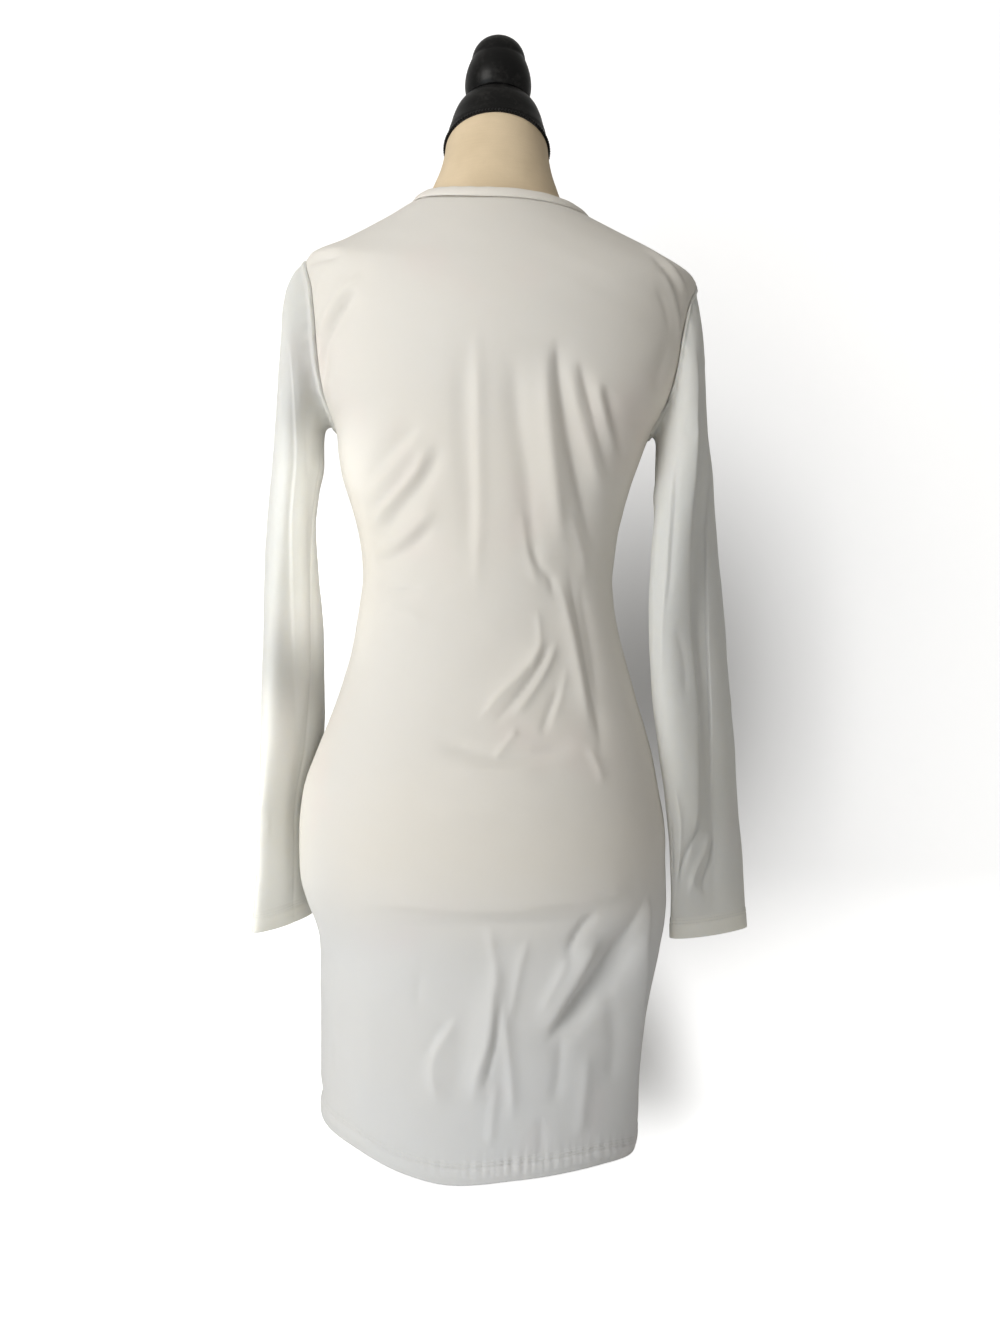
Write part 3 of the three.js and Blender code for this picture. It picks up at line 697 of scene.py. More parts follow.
def weave_group() -> bpy.types.NodeTree:
    """Threads of a plain weave that pass over and under, with slubs."""
    sheet = new_group(
        "plain_weave",
        {"Across": (FLOAT, 0), "Along": (FLOAT, 0), "Threads per m": (FLOAT, 1500), "Place": (VECTOR, 0)},
        {"Height": FLOAT, "Slub": FLOAT},
    )
    source, target = sheet.tree.nodes["inputs"], sheet.tree.nodes["outputs"]
    u = sheet.math("MULTIPLY", source.outputs["Across"], source.outputs["Threads per m"])
    v = sheet.math("MULTIPLY", source.outputs["Along"], source.outputs["Threads per m"])
    warp = sheet.math("ABSOLUTE", sheet.math("SINE", sheet.math("MULTIPLY", u, math.pi)))
    weft = sheet.math("ABSOLUTE", sheet.math("SINE", sheet.math("MULTIPLY", v, math.pi)))
    cells = sheet.math("ADD", sheet.math("FLOOR", u), sheet.math("FLOOR", v))
    over = sheet.math("PINGPONG", cells, 1.0)
    height = sheet.math(
        "ADD",
        sheet.math("MULTIPLY", warp, over),
        sheet.math("MULTIPLY", weft, sheet.math("SUBTRACT", 1.0, over)),
    )
    stretch = sheet.add(
        "ShaderNodeMapping", {"Vector": source.outputs["Place"], "Scale": (60, 60, 900)}
    )
    slub = sheet.add("ShaderNodeTexNoise", {"Vector": stretch.outputs[0], "Scale": 1.0, "Detail": 4})
    sheet.tree.links.new(height, target.inputs["Height"])
    sheet.tree.links.new(slub.outputs[0], target.inputs["Slub"])
    return sheet.tree


def wear_group() -> bpy.types.NodeTree:
    """Fine scuffs and settled dust on a hard finish. Dust lies on what faces up."""
    sheet = new_group(
        "scuffs_and_dust",
        {"Place": (VECTOR, 0), "Scuffs": (FLOAT, 0.5), "Dust": (FLOAT, 0.5)},
        {"Scuff": FLOAT, "Dust": FLOAT},
    )
    source, target = sheet.tree.nodes["inputs"], sheet.tree.nodes["outputs"]
    fine = sheet.add("ShaderNodeTexNoise", {"Vector": source.outputs["Place"], "Scale": 320, "Detail": 5})
    broad = sheet.add("ShaderNodeTexNoise", {"Vector": source.outputs["Place"], "Scale": 40, "Detail": 3})
    scuff = sheet.add(
        "ShaderNodeMapRange",
        {"Value": sheet.math("MULTIPLY", fine.outputs[0], broad.outputs[0]), "From Min": 0.24, "From Max": 0.42},
    )
    up = sheet.add("ShaderNodeSeparateXYZ", {0: sheet.add("ShaderNodeNewGeometry").outputs["Normal"]})
    lying = sheet.math("MULTIPLY", sheet.math("MAXIMUM", up.outputs[2], 0.0), broad.outputs[0])
    sheet.tree.links.new(sheet.math("MULTIPLY", scuff.outputs[0], source.outputs["Scuffs"]), target.inputs["Scuff"])
    sheet.tree.links.new(sheet.math("MULTIPLY", lying, source.outputs["Dust"]), target.inputs["Dust"])
    return sheet.tree


class Groups:
    """The shader groups, each built once."""

    def __init__(self) -> None:
        """Builds them."""
        self.knit = knit_group()
        self.mottle = mottle_group()
        self.weave = weave_group()
        self.wear = wear_group()


def new_material(name: str) -> tuple[bpy.types.Material, NodeSheet, bpy.types.Node]:
    """A material with its sheet and its shader."""
    material = bpy.data.materials.new(name)
    material.use_nodes = True
    material.node_tree.nodes.clear()
    sheet = NodeSheet(material.node_tree)
    shader = sheet.add("ShaderNodeBsdfPrincipled")
    sheet.add("ShaderNodeOutputMaterial", {"Surface": shader.outputs[0]})
    return material, sheet, shader


def use_group(sheet: NodeSheet, group: bpy.types.NodeTree, values: dict) -> bpy.types.Node:
    """Places a shader group in a material.

    Args:
        sheet: the material's sheet.
        group: the group.
        values: its inputs by name.

    Returns:
        The group's node.
    """
    node = sheet.add("ShaderNodeGroup", node_tree=group)
    for key, value in values.items():
        if isinstance(value, bpy.types.NodeSocket):
            sheet.tree.links.new(value, node.inputs[key])
        else:
            node.inputs[key].default_value = value
    return node


Colour = tuple[float, float, float, float]


@dataclass(frozen=True)
class Jersey:
    """Thin knit with a soft sheen."""

    name: str = "white_jersey"
    warm: Colour = (0.75, 0.735, 0.69, 1)
    cool: Colour = (0.745, 0.74, 0.71, 1)
    blush: Colour = (0.76, 0.72, 0.69, 1)
    roughness: float = 0.72
    sheen: float = 0.12
    glow: float = 0.2
    glow_reach: float = 0.003
    loop_depth: float = 0.00006
    # Tint by height: warm above the form's lower edge, where the cream form shows through the cloth; below it a painted
    # cool light on the skirt.
    over_form: Colour = (1.0, 0.973, 0.95, 1)
    painted_cool_light_below: Colour = (0.925, 0.94, 0.985, 1)
    form_edge: tuple[float, float] = (0.175, 0.285)
    form_and_painted_light: float = 1.0

    def build(self, groups: Groups) -> bpy.types.Material:
        """Makes the material.

        Args:
            groups: the shared shader groups.

        Returns:
            The material.
        """
        material, sheet, shader = new_material(self.name)
        place = sheet.add("ShaderNodeTexCoord")
        uv = sheet.add("ShaderNodeUVMap", uv_map="cloth")
        broad = use_group(sheet, groups.mottle, {"Place": place.outputs["Object"], "Scale": 5.0, "Detail": 1.5})
        patches = use_group(
            sheet, groups.mottle, {"Place": place.outputs["Object"], "Scale": 9.0, "Low": 0.55, "High": 0.75}
        )
        tone = sheet.blend(broad.outputs[0], self.warm, self.cool)
        tone = sheet.blend(sheet.math("MULTIPLY", patches.outputs[0], 0.7), tone, self.blush)
        knit = use_group(sheet, groups.knit, {"Place": uv.outputs[0]})
        # The knit's valleys are painted a little darker, as painted shade between the loops.
        shade = sheet.math("MULTIPLY_ADD", knit.outputs[0], 0.05, 0.95)
        grey = sheet.add("ShaderNodeCombineColor", {0: shade, 1: shade, 2: shade})
        tone = sheet.blend(1.0, tone, grey.outputs[0], "MULTIPLY")
        # Warm where the form shows through, painted cool light on the skirt below the form.
        height = sheet.add("ShaderNodeSeparateXYZ", {"Vector": place.outputs["Object"]}).outputs["Z"]
        low, high = self.form_edge
        over = sheet.add(
            "ShaderNodeMapRange",
            {"Value": height, "From Min": low, "From Max": high},
            interpolation_type="SMOOTHSTEP",
        ).outputs[0]
        form_tint_and_painted_light = sheet.blend(over, self.painted_cool_light_below, self.over_form)
        tone = sheet.blend(self.form_and_painted_light, tone, form_tint_and_painted_light, "MULTIPLY")
        sheet.tree.links.new(tone, shader.inputs["Base Color"])
        rough = sheet.math("MULTIPLY_ADD", broad.outputs[0], 0.08, self.roughness)
        sheet.tree.links.new(rough, shader.inputs["Roughness"])
        fuzz = sheet.add("ShaderNodeTexNoise", {"Vector": place.outputs["Object"], "Scale": 420, "Detail": 3})
        height = sheet.math("MULTIPLY_ADD", fuzz.outputs[0], 0.5, knit.outputs[0])
        bump = sheet.add(
            "ShaderNodeBump", {"Height": height, "Strength": 0.35, "Distance": self.loop_depth}
        )
        sheet.tree.links.new(bump.outputs[0], shader.inputs["Normal"])
        shader.inputs["Subsurface Weight"].default_value = self.glow
        shader.inputs["Subsurface Radius"].default_value = (1.0, 0.92, 0.78)
        shader.inputs["Subsurface Scale"].default_value = self.glow_reach
        shader.inputs["Sheen Weight"].default_value = self.sheen
        shader.inputs["Sheen Roughness"].default_value = 0.4
        shader.inputs["Specular IOR Level"].default_value = 0.3
        return material


@dataclass(frozen=True)
class Thread:
    """Sewing thread a shade brighter than the cloth."""

    name: str = "white_thread"
    colour: Colour = (0.72, 0.72, 0.69, 1)

    def build(self, groups: Groups) -> bpy.types.Material:
        """Makes the material.

        Args:
            groups: the shared shader groups.

        Returns:
            The material.
        """
        material, sheet, shader = new_material(self.name)
        place = sheet.add("ShaderNodeTexCoord")
        tone = use_group(sheet, groups.mottle, {"Place": place.outputs["Object"], "Scale": 60.0})
        dark = tuple(c * 0.9 for c in self.colour[:3]) + (1,)
        colour = sheet.blend(tone.outputs[0], dark, self.colour)
        sheet.tree.links.new(colour, shader.inputs["Base Color"])
        twist = sheet.add("ShaderNodeTexNoise", {"Vector": place.outputs["Object"], "Scale": 3000})
        bump = sheet.add("ShaderNodeBump", {"Height": twist.outputs[0], "Strength": 0.3, "Distance": 0.0001})
        sheet.tree.links.new(bump.outputs[0], shader.inputs["Normal"])
        shader.inputs["Roughness"].default_value = 0.55
        return material


@dataclass(frozen=True)
class Linen:
    """Cream plain-woven cover of the form."""

    name: str = "cream_linen"
    light: Colour = (0.75, 0.605, 0.41, 1)
    dark: Colour = (0.62, 0.49, 0.32, 1)

    def build(self, groups: Groups) -> bpy.types.Material:
        """Makes the material.

        Args:
            groups: the shared shader groups.

        Returns:
            The material.
        """
        material, sheet, shader = new_material(self.name)
        place = sheet.add("ShaderNodeTexCoord")
        split = sheet.add("ShaderNodeSeparateXYZ", {0: place.outputs["Object"]})
        turn = sheet.math("MULTIPLY", sheet.math("ARCTAN2", split.outputs[1], split.outputs[0]), 0.05)
        weave = use_group(
            sheet,
            groups.weave,
            {"Across": turn, "Along": split.outputs[2], "Place": place.outputs["Object"]},
        )
        patches = use_group(sheet, groups.mottle, {"Place": place.outputs["Object"], "Scale": 22.0, "Detail": 4.0})
        mix = sheet.math(
            "MULTIPLY_ADD", weave.outputs["Slub"], 0.35, sheet.math("MULTIPLY", patches.outputs[0], 0.5)
        )
        tone = sheet.blend(mix, self.light, self.dark)
        sheet.tree.links.new(tone, shader.inputs["Base Color"])
        height = sheet.math("MULTIPLY_ADD", weave.outputs["Slub"], 1.5, weave.outputs["Height"])
        bump = sheet.add("ShaderNodeBump", {"Height": height, "Strength": 0.5, "Distance": 0.0002})
        sheet.tree.links.new(bump.outputs[0], shader.inputs["Normal"])
        rough = sheet.math("MULTIPLY_ADD", patches.outputs[0], 0.08, 0.8)
        sheet.tree.links.new(rough, shader.inputs["Roughness"])
        shader.inputs["Sheen Weight"].default_value = 0.15
        return material


@dataclass(frozen=True)
class BlackFinish:
    """A black coat on turned wood or steel."""

    name: str
    colour: Colour
    roughness: float
    coat: float
    metallic: float
    grain: float
    scuffs: float
    dust: float
    gloss: float = 0.5

    def build(self, groups: Groups) -> bpy.types.Material:
        """Makes the material.

        Args:
            groups: the shared shader groups.

        Returns:
            The material.
        """
        material, sheet, shader = new_material(self.name)
        place = sheet.add("ShaderNodeTexCoord")
        wear = use_group(
            sheet, groups.wear, {"Place": place.outputs["Object"], "Scuffs": self.scuffs, "Dust": self.dust}
        )
        patches = use_group(sheet, groups.mottle, {"Place": place.outputs["Object"], "Scale": 30.0})
        lighter = tuple(c * 1.7 for c in self.colour[:3]) + (1,)
        tone = sheet.blend(patches.outputs[0], self.colour, lighter)
        tone = sheet.blend(wear.outputs["Dust"], tone, (0.32, 0.31, 0.29, 1))
        tone = sheet.blend(sheet.math("MULTIPLY", wear.outputs["Scuff"], 0.3), tone, (0.2, 0.19, 0.18, 1))
        sheet.tree.links.new(tone, shader.inputs["Base Color"])
        rough = sheet.math(
            "ADD",
            sheet.math("MULTIPLY_ADD", wear.outputs["Scuff"], 0.25, self.roughness),
            sheet.math("MULTIPLY", wear.outputs["Dust"], 0.5),
        )
        sheet.tree.links.new(rough, shader.inputs["Roughness"])
        stretch = sheet.add("ShaderNodeMapping", {"Vector": place.outputs["Object"], "Scale": (40, 40, 700)})
        rings = sheet.add("ShaderNodeTexNoise", {"Vector": stretch.outputs[0], "Scale": 1.0, "Detail": 4})
        bump = sheet.add(
            "ShaderNodeBump", {"Height": rings.outputs[0], "Strength": self.grain, "Distance": 0.0003}
        )
        sheet.tree.links.new(bump.outputs[0], shader.inputs["Normal"])
        shader.inputs["Metallic"].default_value = self.metallic
        shader.inputs["Coat Weight"].default_value = self.coat
        shader.inputs["Coat Roughness"].default_value = 0.12
        shader.inputs["Specular IOR Level"].default_value = self.gloss
        return material


# Stitches
class StitchRow:
    """Rows of raised thread stitches, made by Geometry Nodes along lines on the cloth."""

    pitch: float = 0.0034
    length: float = 0.0026
    thickness: float = 0.00042

    def __init__(self, material: bpy.types.Material) -> None:
        """Builds the node tree.

        Args:
            material: finish of the thread.
        """
        self.material = material
        tree = bpy.data.node_groups.new("stitch_row", "GeometryNodeTree")
        tree.interface.new_socket("Lines", in_out="INPUT", socket_type="NodeSocketGeometry")
        self.sockets = {
            key: tree.interface.new_socket(key, in_out="INPUT", socket_type="NodeSocketFloat").identifier
            for key in ("Pitch", "Length", "Thickness")
        }
        tree.interface.new_socket("Stitches", in_out="OUTPUT", socket_type="NodeSocketGeometry")
        sheet = NodeSheet(tree)
        source = sheet.add("NodeGroupInput")
        curve = sheet.add("GeometryNodeMeshToCurve", {"Mesh": source.outputs["Lines"]})
        even = sheet.add(
            "GeometryNodeResampleCurve",
            {"Curve": curve.outputs[0], "Length": source.outputs["Pitch"]},
            mode="LENGTH",
        )
        grain = sheet.add("GeometryNodeMeshUVSphere", {"Segments": 6, "Rings": 5, "Radius": 0.5})
        size = sheet.add(
            "ShaderNodeCombineXYZ",
            {0: source.outputs["Thickness"], 1: source.outputs["Thickness"], 2: source.outputs["Length"]},
        )
        turn = sheet.add(
            "FunctionNodeAlignRotationToVector",
            {"Vector": sheet.add("GeometryNodeInputTangent").outputs[0]},
            axis="Z",
        )
        laid = sheet.add(
            "GeometryNodeInstanceOnPoints",
            {"Points": even.outputs[0], "Instance": grain.outputs[0], "Rotation": turn.outputs[0],
             "Scale": size.outputs[0]},
        )
        real = sheet.add("GeometryNodeRealizeInstances", {"Geometry": laid.outputs[0]})
        dressed = sheet.add("GeometryNodeSetMaterial", {"Geometry": real.outputs[0], "Material": material})
        sheet.add("NodeGroupOutput", {0: dressed.outputs[0]})
        self.tree = tree

    def sew(self, name: str, lines: Sequence[Array]) -> bpy.types.Object:
        """Sews rows of stitches.

        Args:
            name: name of the piece.
            lines: points along each row, mm.

        Returns:
            The stitches as one piece.
        """
        points: list[list[float]] = []
        edges: list[tuple[int, int]] = []
        for line in lines:
            first = len(points)
            points += (np.asarray(line) * MM).tolist()
            edges += [(k, k + 1) for k in range(first, len(points) - 1)]
        mesh = bpy.data.meshes.new(name + "_lines")
        mesh.from_pydata(points, edges, [])
        carrier = bpy.data.objects.new(name + "_lines", mesh)
        bpy.context.scene.collection.objects.link(carrier)
        modifier = carrier.modifiers.new("stitches", "NODES")
        modifier.node_group = self.tree
        modifier[self.sockets["Pitch"]] = self.pitch
        modifier[self.sockets["Length"]] = self.length
        modifier[self.sockets["Thickness"]] = self.thickness
        mesh_out = plain_from(carrier, name)
        return add_piece(name, mesh_out, self.material)


def plain_from(carrier: bpy.types.Object, name: str) -> bpy.types.Mesh:
    """The evaluated mesh of an object, which is then removed.

    Args:
        carrier: an object with live modifiers.
        name: name of the new mesh.

    Returns:
        A plain mesh.
    """
    bpy.context.view_layer.update()
    graph = bpy.context.evaluated_depsgraph_get()
    mesh = bpy.data.meshes.new_from_object(carrier.evaluated_get(graph), depsgraph=graph)
    mesh.name = name
    carrier.modifiers.clear()
    bpy.data.objects.remove(carrier)
    mesh.polygons.foreach_set("use_smooth", [True] * len(mesh.polygons))
    return mesh


# The dress
class Side(Enum):
    """Which half of the body a panel covers, as the sign of its angle."""

    BACK = -1
    FRONT = 1


@dataclass
class Panel:
    """Back or front panel, from the hem to the neck seam."""

    name: str
    node: str
    side: Side
    creases: tuple[Fold, ...]
    seed: int
    columns: int = 216
    hem_rows: int = 24
    body_rows: int = 220
    armhole_rows: int = 72
    yoke_rows: int = 24
    wall: float = 0.9
    hem_depth: float = 17.0
    stitch_levels: tuple[float, float] = (13.2, 16.0)
    seam_dip: float = 0.15
    seam_width: float = 1.6
    seam_gap: float = 0.12
    slack: float = 0.3
    drawn_at: float = 34.0
    outer: Array = field(default=None, repr=False)
    normal: Array = field(default=None, repr=False)
    levels: Array = field(default=None, repr=False)

    def shape(self) -> None:
        """Works out the outer face and its normals."""
        armhole = ARMPIT_LEVEL + (TIP_LEVEL - ARMPIT_LEVEL) * (
            1 - np.cos(np.linspace(0, math.pi, self.armhole_rows + 1))
        ) / 2
        self.levels = np.concatenate([
            np.linspace(HEM_LEVEL, HEM_LEVEL + 1.2 * self.hem_depth, self.hem_rows, endpoint=False),
            np.linspace(HEM_LEVEL + 1.2 * self.hem_depth, ARMPIT_LEVEL, self.body_rows, endpoint=False),
            armhole,
            np.linspace(TIP_LEVEL, NECK_LEVEL, self.yoke_rows + 1)[1:],
        ])
        level = np.repeat(self.levels[:, None], self.columns + 1, axis=1)
        cut = armhole_angle(level)
        share = np.linspace(0, 1, self.columns + 1)[None, :]
        angle = self.side.value * (cut + (math.pi - 2 * cut) * share)
        points = cloth_point(level, angle)
        normal = grid_normals(points, False) * self.side.value
        run = run_along(points, 1)
        edge = np.minimum(run, run[:, -1:] - run)
        free = smooth_step(edge / 9.0)
        x, z = points[..., 0], points[..., 2]
        lift = sum((f.lift(x, z) for f in self.creases), np.zeros_like(x)) * free
        lift += undulation(points, self.seed) * self.slack * free
        lift += self.pucker(run, edge, level)
        lift -= self.seam_dip * np.exp(-((edge / self.seam_width) ** 2))
        above = level - HEM_LEVEL
        for stitch in self.stitch_levels:
            lift -= 1.0 * np.exp(-(((above - stitch) / 1.1) ** 2))
        lift += 1.1 * smooth_step((self.hem_depth + 1.2 - above) / 1.6)
        lift += 0.7 * np.exp(-(((above - 6.5) / 4.5) ** 2))
        lift += self.hem_ripple(x, above) * free
        lift -= 0.5 * np.exp(-(((NECK_LEVEL - level) / 1.6) ** 2))
        points = points + normal * lift[..., None]
        seam = cut[:, 0] == 0
        for column in (0, -1):
            points[seam, column, 1] = self.side.value * self.seam_gap / 2
        self.outer = points
        self.normal = grid_normals(points, False) * self.side.value

    def hem_ripple(self, x: Array, above: Array) -> Array:
        """Small upright ripples that the hem's stitches draw up, stronger in one stretch.

        Args:
            x: places across, mm.
            above: height above the hem's edge, mm.

        Returns:
            Heights, mm.
        """
        drawn = 0.35 + 0.65 * np.exp(-(((x - self.drawn_at) / 26) ** 2))
        band = np.exp(-(((above - 13) / 8) ** 2))
        wave = np.sin(x * 0.95 + 1.7 * np.sin(x * 0.19 + self.seed))
        return 0.85 * drawn * band * wave

    def pucker(self, run: Array, edge: Array, level: Array) -> Array:
        """Small gathers beside the armhole seam.

        Args:
            run: distance across the panel. Not used.
            edge: distance from the nearer edge.
            level: levels of the points.

        Returns:
            Heights, mm.
        """
        beside = np.exp(-(((edge - 5) / 5) ** 2)) * (armhole_angle(level) > 0)
        wave = np.sin(level * 0.47 + 1.3 * np.sin(level * 0.11 + self.seed))
        return 0.32 * beside * wave * smooth_step(edge / 3)

    def build(self, material: bpy.types.Material) -> bpy.types.Object:
        """Makes the panel.

        Args:
            material: finish of the cloth.

        Returns:
            The piece.
        """
        self.shape()
        hem = smooth_step((HEM_LEVEL + self.hem_depth + 1 - self.levels) / 2)
        thickness = self.wall * (1 + hem)[:, None, None]
        inner = self.outer - self.normal * thickness
        for column in (0, -1):
            seam = armhole_angle(self.levels) == 0
            inner[seam, column, 1] = self.side.value * self.seam_gap / 2
        across = run_along(self.outer, 1)
        across -= across[:, -1:] / 2
        along = np.repeat(run_along(self.outer, 0)[:, self.columns // 2][:, None], self.columns + 1, axis=1)
        uv = np.stack([across * self.side.value, along], axis=-1) * MM
        mesh = shell_mesh(self.name, self.outer, inner, uv, False, self.side is Side.BACK)
        return add_piece(self.name, mesh, material, [self.node])

    def hem_lines(self) -> list[Array]:
        """Points along the two rows of hem stitches."""
        lines = []
        for stitch in self.stitch_levels:
            row = int(np.argmin(np.abs(self.levels - HEM_LEVEL - stitch)))
            lines.append(self.outer[row, 1:-1] + self.normal[row, 1:-1] * 0.1)
        return lines


SLEEVE_COLUMNS = ("station", "outerX", "outerZ", "innerX", "innerZ", "reach", "fore", "turn")


def sleeve_row(
    station: float, middle: float, half: float, z: float, reach: float, fore: float, turn: float
) -> tuple:
    """A sleeve section that lies level."""
    return (station, middle + half, z, middle - half, z, reach, fore, turn)


LEFT_SLEEVE = Table(
    SLEEVE_COLUMNS,
    [
        (0, 167, 788, 138.5, 635, 41, 0, 0),
        (0.025, 177, 779, 143, 641, 44, 1, 0),
        (0.055, 184, 764, 147, 641, 46, 1, 0),
        (0.09, 187.5, 744, 150, 637, 48, 1, 0),
        (0.13, 188, 717, 151.5, 629, 49, 1, 0),
        (0.18, 189.5, 684, 152, 617, 50, 2, 0),
        (0.24, 191.5, 646, 152, 603, 51, 2, 0),
        (0.3, 193.5, 606, 155, 585, 52, 2, 2),
        sleeve_row(0.37, 177, 20, 556, 53, 2, 3),
        sleeve_row(0.45, 175.5, 20, 516, 53, 1, -2),
        sleeve_row(0.54, 173, 19.5, 470, 53, 1, -8),
        sleeve_row(0.64, 171.5, 19, 413, 52, 0, -12),
        sleeve_row(0.74, 171.5, 16, 357, 51, 0, -16),
        sleeve_row(0.83, 177, 10.5, 303, 50, 0, -13),
        sleeve_row(0.92, 177.5, 11, 249, 48, 0, -15.5),
        sleeve_row(1, 177, 10.5, 195, 45, 0.5, -22),
    ],
)
RIGHT_SLEEVE = Table(
    SLEEVE_COLUMNS,
    [
        (0, 180, 775, 141.5, 635, 41, 0, 0),
        (0.025, 180, 768, 145, 639, 44, 1, 0),
        (0.055, 183, 753, 148, 638, 46, 1, 0),
        (0.09, 186.5, 732, 150, 632, 48, 1, 1),
        (0.13, 189.5, 706, 150, 623, 49, 1, 2),
        (0.18, 193.5, 674, 149.5, 611, 50, 2, 4),
        (0.24, 198.5, 640, 149, 597, 51, 2, 8),
        (0.3, 201.5, 603, 148.5, 580, 52, 2, 16),
        sleeve_row(0.37, 177.5, 23.5, 552, 53, 2, 30),
        sleeve_row(0.45, 179, 22.5, 512, 52, 2, 38),
        sleeve_row(0.54, 181, 22.5, 470, 52, 2, 43),
        sleeve_row(0.64, 186, 22, 413, 51, 3, 46),
        sleeve_row(0.74, 193, 19, 354, 50.5, 4, 48),
        sleeve_row(0.83, 199.5, 13, 300, 49.5, 3.5, 48.5),
        sleeve_row(0.92, 204, 11, 243, 47.5, 2.5, 52.5),
        sleeve_row(1, 206.5, 10.5, 193, 45, 2, 58),
    ],
)


@dataclass(frozen=True)
class LongFold:
    """A fold that runs down a sleeve. Its angle runs round the sleeve from the outside to the front."""

    angle: float
    drift: float
    low: float
    high: float
    spread: float
    height: float

    def lift(self, angle: Array, z: Array) -> Array:
        """Height of the fold at angles round the sleeve and heights above the floor."""
        along = np.clip((z - self.low) / (self.high - self.low), 0, 1)
        centre = self.angle + self.drift * np.sin(3 * math.pi * along)
        away = np.mod(np.degrees(angle) - centre + 180, 360) - 180
        return self.height * np.sin(math.pi * along) ** 0.6 * np.exp(-((away / self.spread) ** 2))


@dataclass
class Sleeve:
    """Set-in sleeve from the armhole to the cuff, hanging empty and half flat."""

    name: str
    node: str
    side: int
    rows: Table
    folds: tuple[LongFold, ...]
    creases: tuple[Fold, ...]
    seed: int
    around: int = 196
    head_rows: int = 70
    arm_rows: int = 192
    cuff_rows: int = 24
    cuff_share: float = 0.034
    wall: float = 0.9
    cuff_depth: float = 17.0
    length: float = 590.0
    stitch_depths: tuple[float, float] = (13.2, 16.0)
    fit: float = 0.1
    seam_gap: float = 0.12
    slack: float = 0.45
    outer: Array = field(default=None, repr=False)
    normal: Array = field(default=None, repr=False)
    stations: Array = field(default=None, repr=False)

    def section(self, station: Array, angle: Array) -> Array:
        """Points of the plain sleeve, before it is fitted to the armhole."""
        r = self.rows.at(station)
        c, s = np.cos(angle), np.sin(angle)
        turn = -np.radians(r["turn"])
        half = (r["outerX"] - r["innerX"]) / 2
        rise = (r["outerZ"] - r["innerZ"]) / 2
        x = (r["outerX"] + r["innerX"]) / 2 + c * half * np.cos(turn) - s * r["reach"] * np.sin(turn)
        y = r["fore"] + c * half * np.sin(turn) + s * r["reach"] * np.cos(turn)
        z = (r["outerZ"] + r["innerZ"]) / 2 + c * rise
        return np.stack([x * self.side, y, z], axis=-1)

    def armhole_edge(self, angle: Array) -> tuple[Array, Array]:
        """Points of the armhole's edge at angles round the sleeve, and the cloth's normals there."""
        level = ARMPIT_LEVEL + (TIP_LEVEL - ARMPIT_LEVEL) * (1 + np.cos(angle)) / 2
        cut = armhole_angle(level) * np.sign(np.sin(angle))
        body = cut if self.side > 0 else math.pi - cut
        normal = normal_of(cloth_point, level, body, 0.5, 0.004)
        return cloth_point(level, body), normal

    def armhole_point(self, angle: Array) -> Array:
        """The sleeve's end at the armhole, a hair inside the edge."""
        point, normal = self.armhole_edge(angle)
        along = self.armhole_edge(angle + 0.05)[0] - self.armhole_edge(angle - 0.05)[0]
        into = unit(np.cross(along, normal)) * self.side * self.seam_gap
        return point + into

    def point(self, station: Array, angle: Array) -> Array:
        """Points of the sleeve's outer face with its long folds.

        Args:
            station: share of the way from the armhole to the cuff, rows by columns.
            angle: angle round the sleeve, rows by columns.

        Returns:
            The points.
        """
        p = self.section(station, angle)
        ease = fade(station / self.fit)
        ring = angle[:1]
        gap = self.armhole_point(ring) - self.section(np.zeros_like(ring), ring)
        p = p + gap * ease[..., None]
        middle = (self.section(station, angle * 0) + self.section(station, angle * 0 + math.pi)) / 2
        outward = p - middle
        outward[..., 2] = 0
        lift = sum(f.lift(angle, p[..., 2]) for f in self.folds) * (1 - ease)
        return p + unit(outward) * lift[..., None]

    def shape(self) -> None:
        """Works out the outer face and its normals."""
        self.stations = np.concatenate([
            np.linspace(0, 0.3, self.head_rows, endpoint=False) ** 1.3 / 0.3**0.3,
            np.linspace(0.3, 1 - self.cuff_share, self.arm_rows, endpoint=False),
            np.linspace(1 - self.cuff_share, 1, self.cuff_rows + 1),
        ])
        turn = math.pi + np.linspace(0, 2 * math.pi, self.around, endpoint=False)
        station = np.repeat(self.stations[:, None], self.around, axis=1)
        angle = np.repeat(turn[None, :], len(self.stations), axis=0)
        points = self.point(station, angle)
        normal = grid_normals(points, True) * -self.side
        run = run_along(points, 0)
        free = smooth_step(run / 12.0)
        around = np.degrees(np.mod(angle, 2 * math.pi))
        z = points[..., 2]
        lift = sum((f.lift(around, z) for f in self.creases), np.zeros_like(z)) * free
        lift += undulation(points, self.seed) * self.slack * free
        lift += self.pucker(run, around)
        lift -= 0.1 * np.exp(-((run / 1.2) ** 2))
        lift += 1.4 * np.exp(-(((run - 3.2) / 2) ** 2))
        off_seam = np.minimum(np.abs(around - 180), 360 - np.abs(around - 180))
        lift -= 0.5 * np.exp(-((off_seam / 2.6) ** 2)) * smooth_step(run / 20)
        from_cuff = run[-1:] - run
        for stitch in self.stitch_depths:
            lift -= 0.6 * np.exp(-(((from_cuff - stitch) / 0.9) ** 2))
        lift += 0.9 * smooth_step((self.cuff_depth + 1.2 - from_cuff) / 1.6)
        self.outer = points + normal * lift[..., None]
        self.normal = grid_normals(self.outer, True) * -self.side

    def pucker(self, run: Array, around: Array) -> Array:
        """Small gathers below the armhole seam, uneven round it.

        Args:
            run: distance from the armhole.
            around: angle round the sleeve, degrees.

        Returns:
            Heights, mm.
        """
        beside = np.exp(-(((run - 6) / 6) ** 2)) * smooth_step(run / 3)
        return 0.4 * beside * np.sin(np.radians(around) * 22 + 1.5 * np.sin(np.radians(around) * 5 + self.seed))

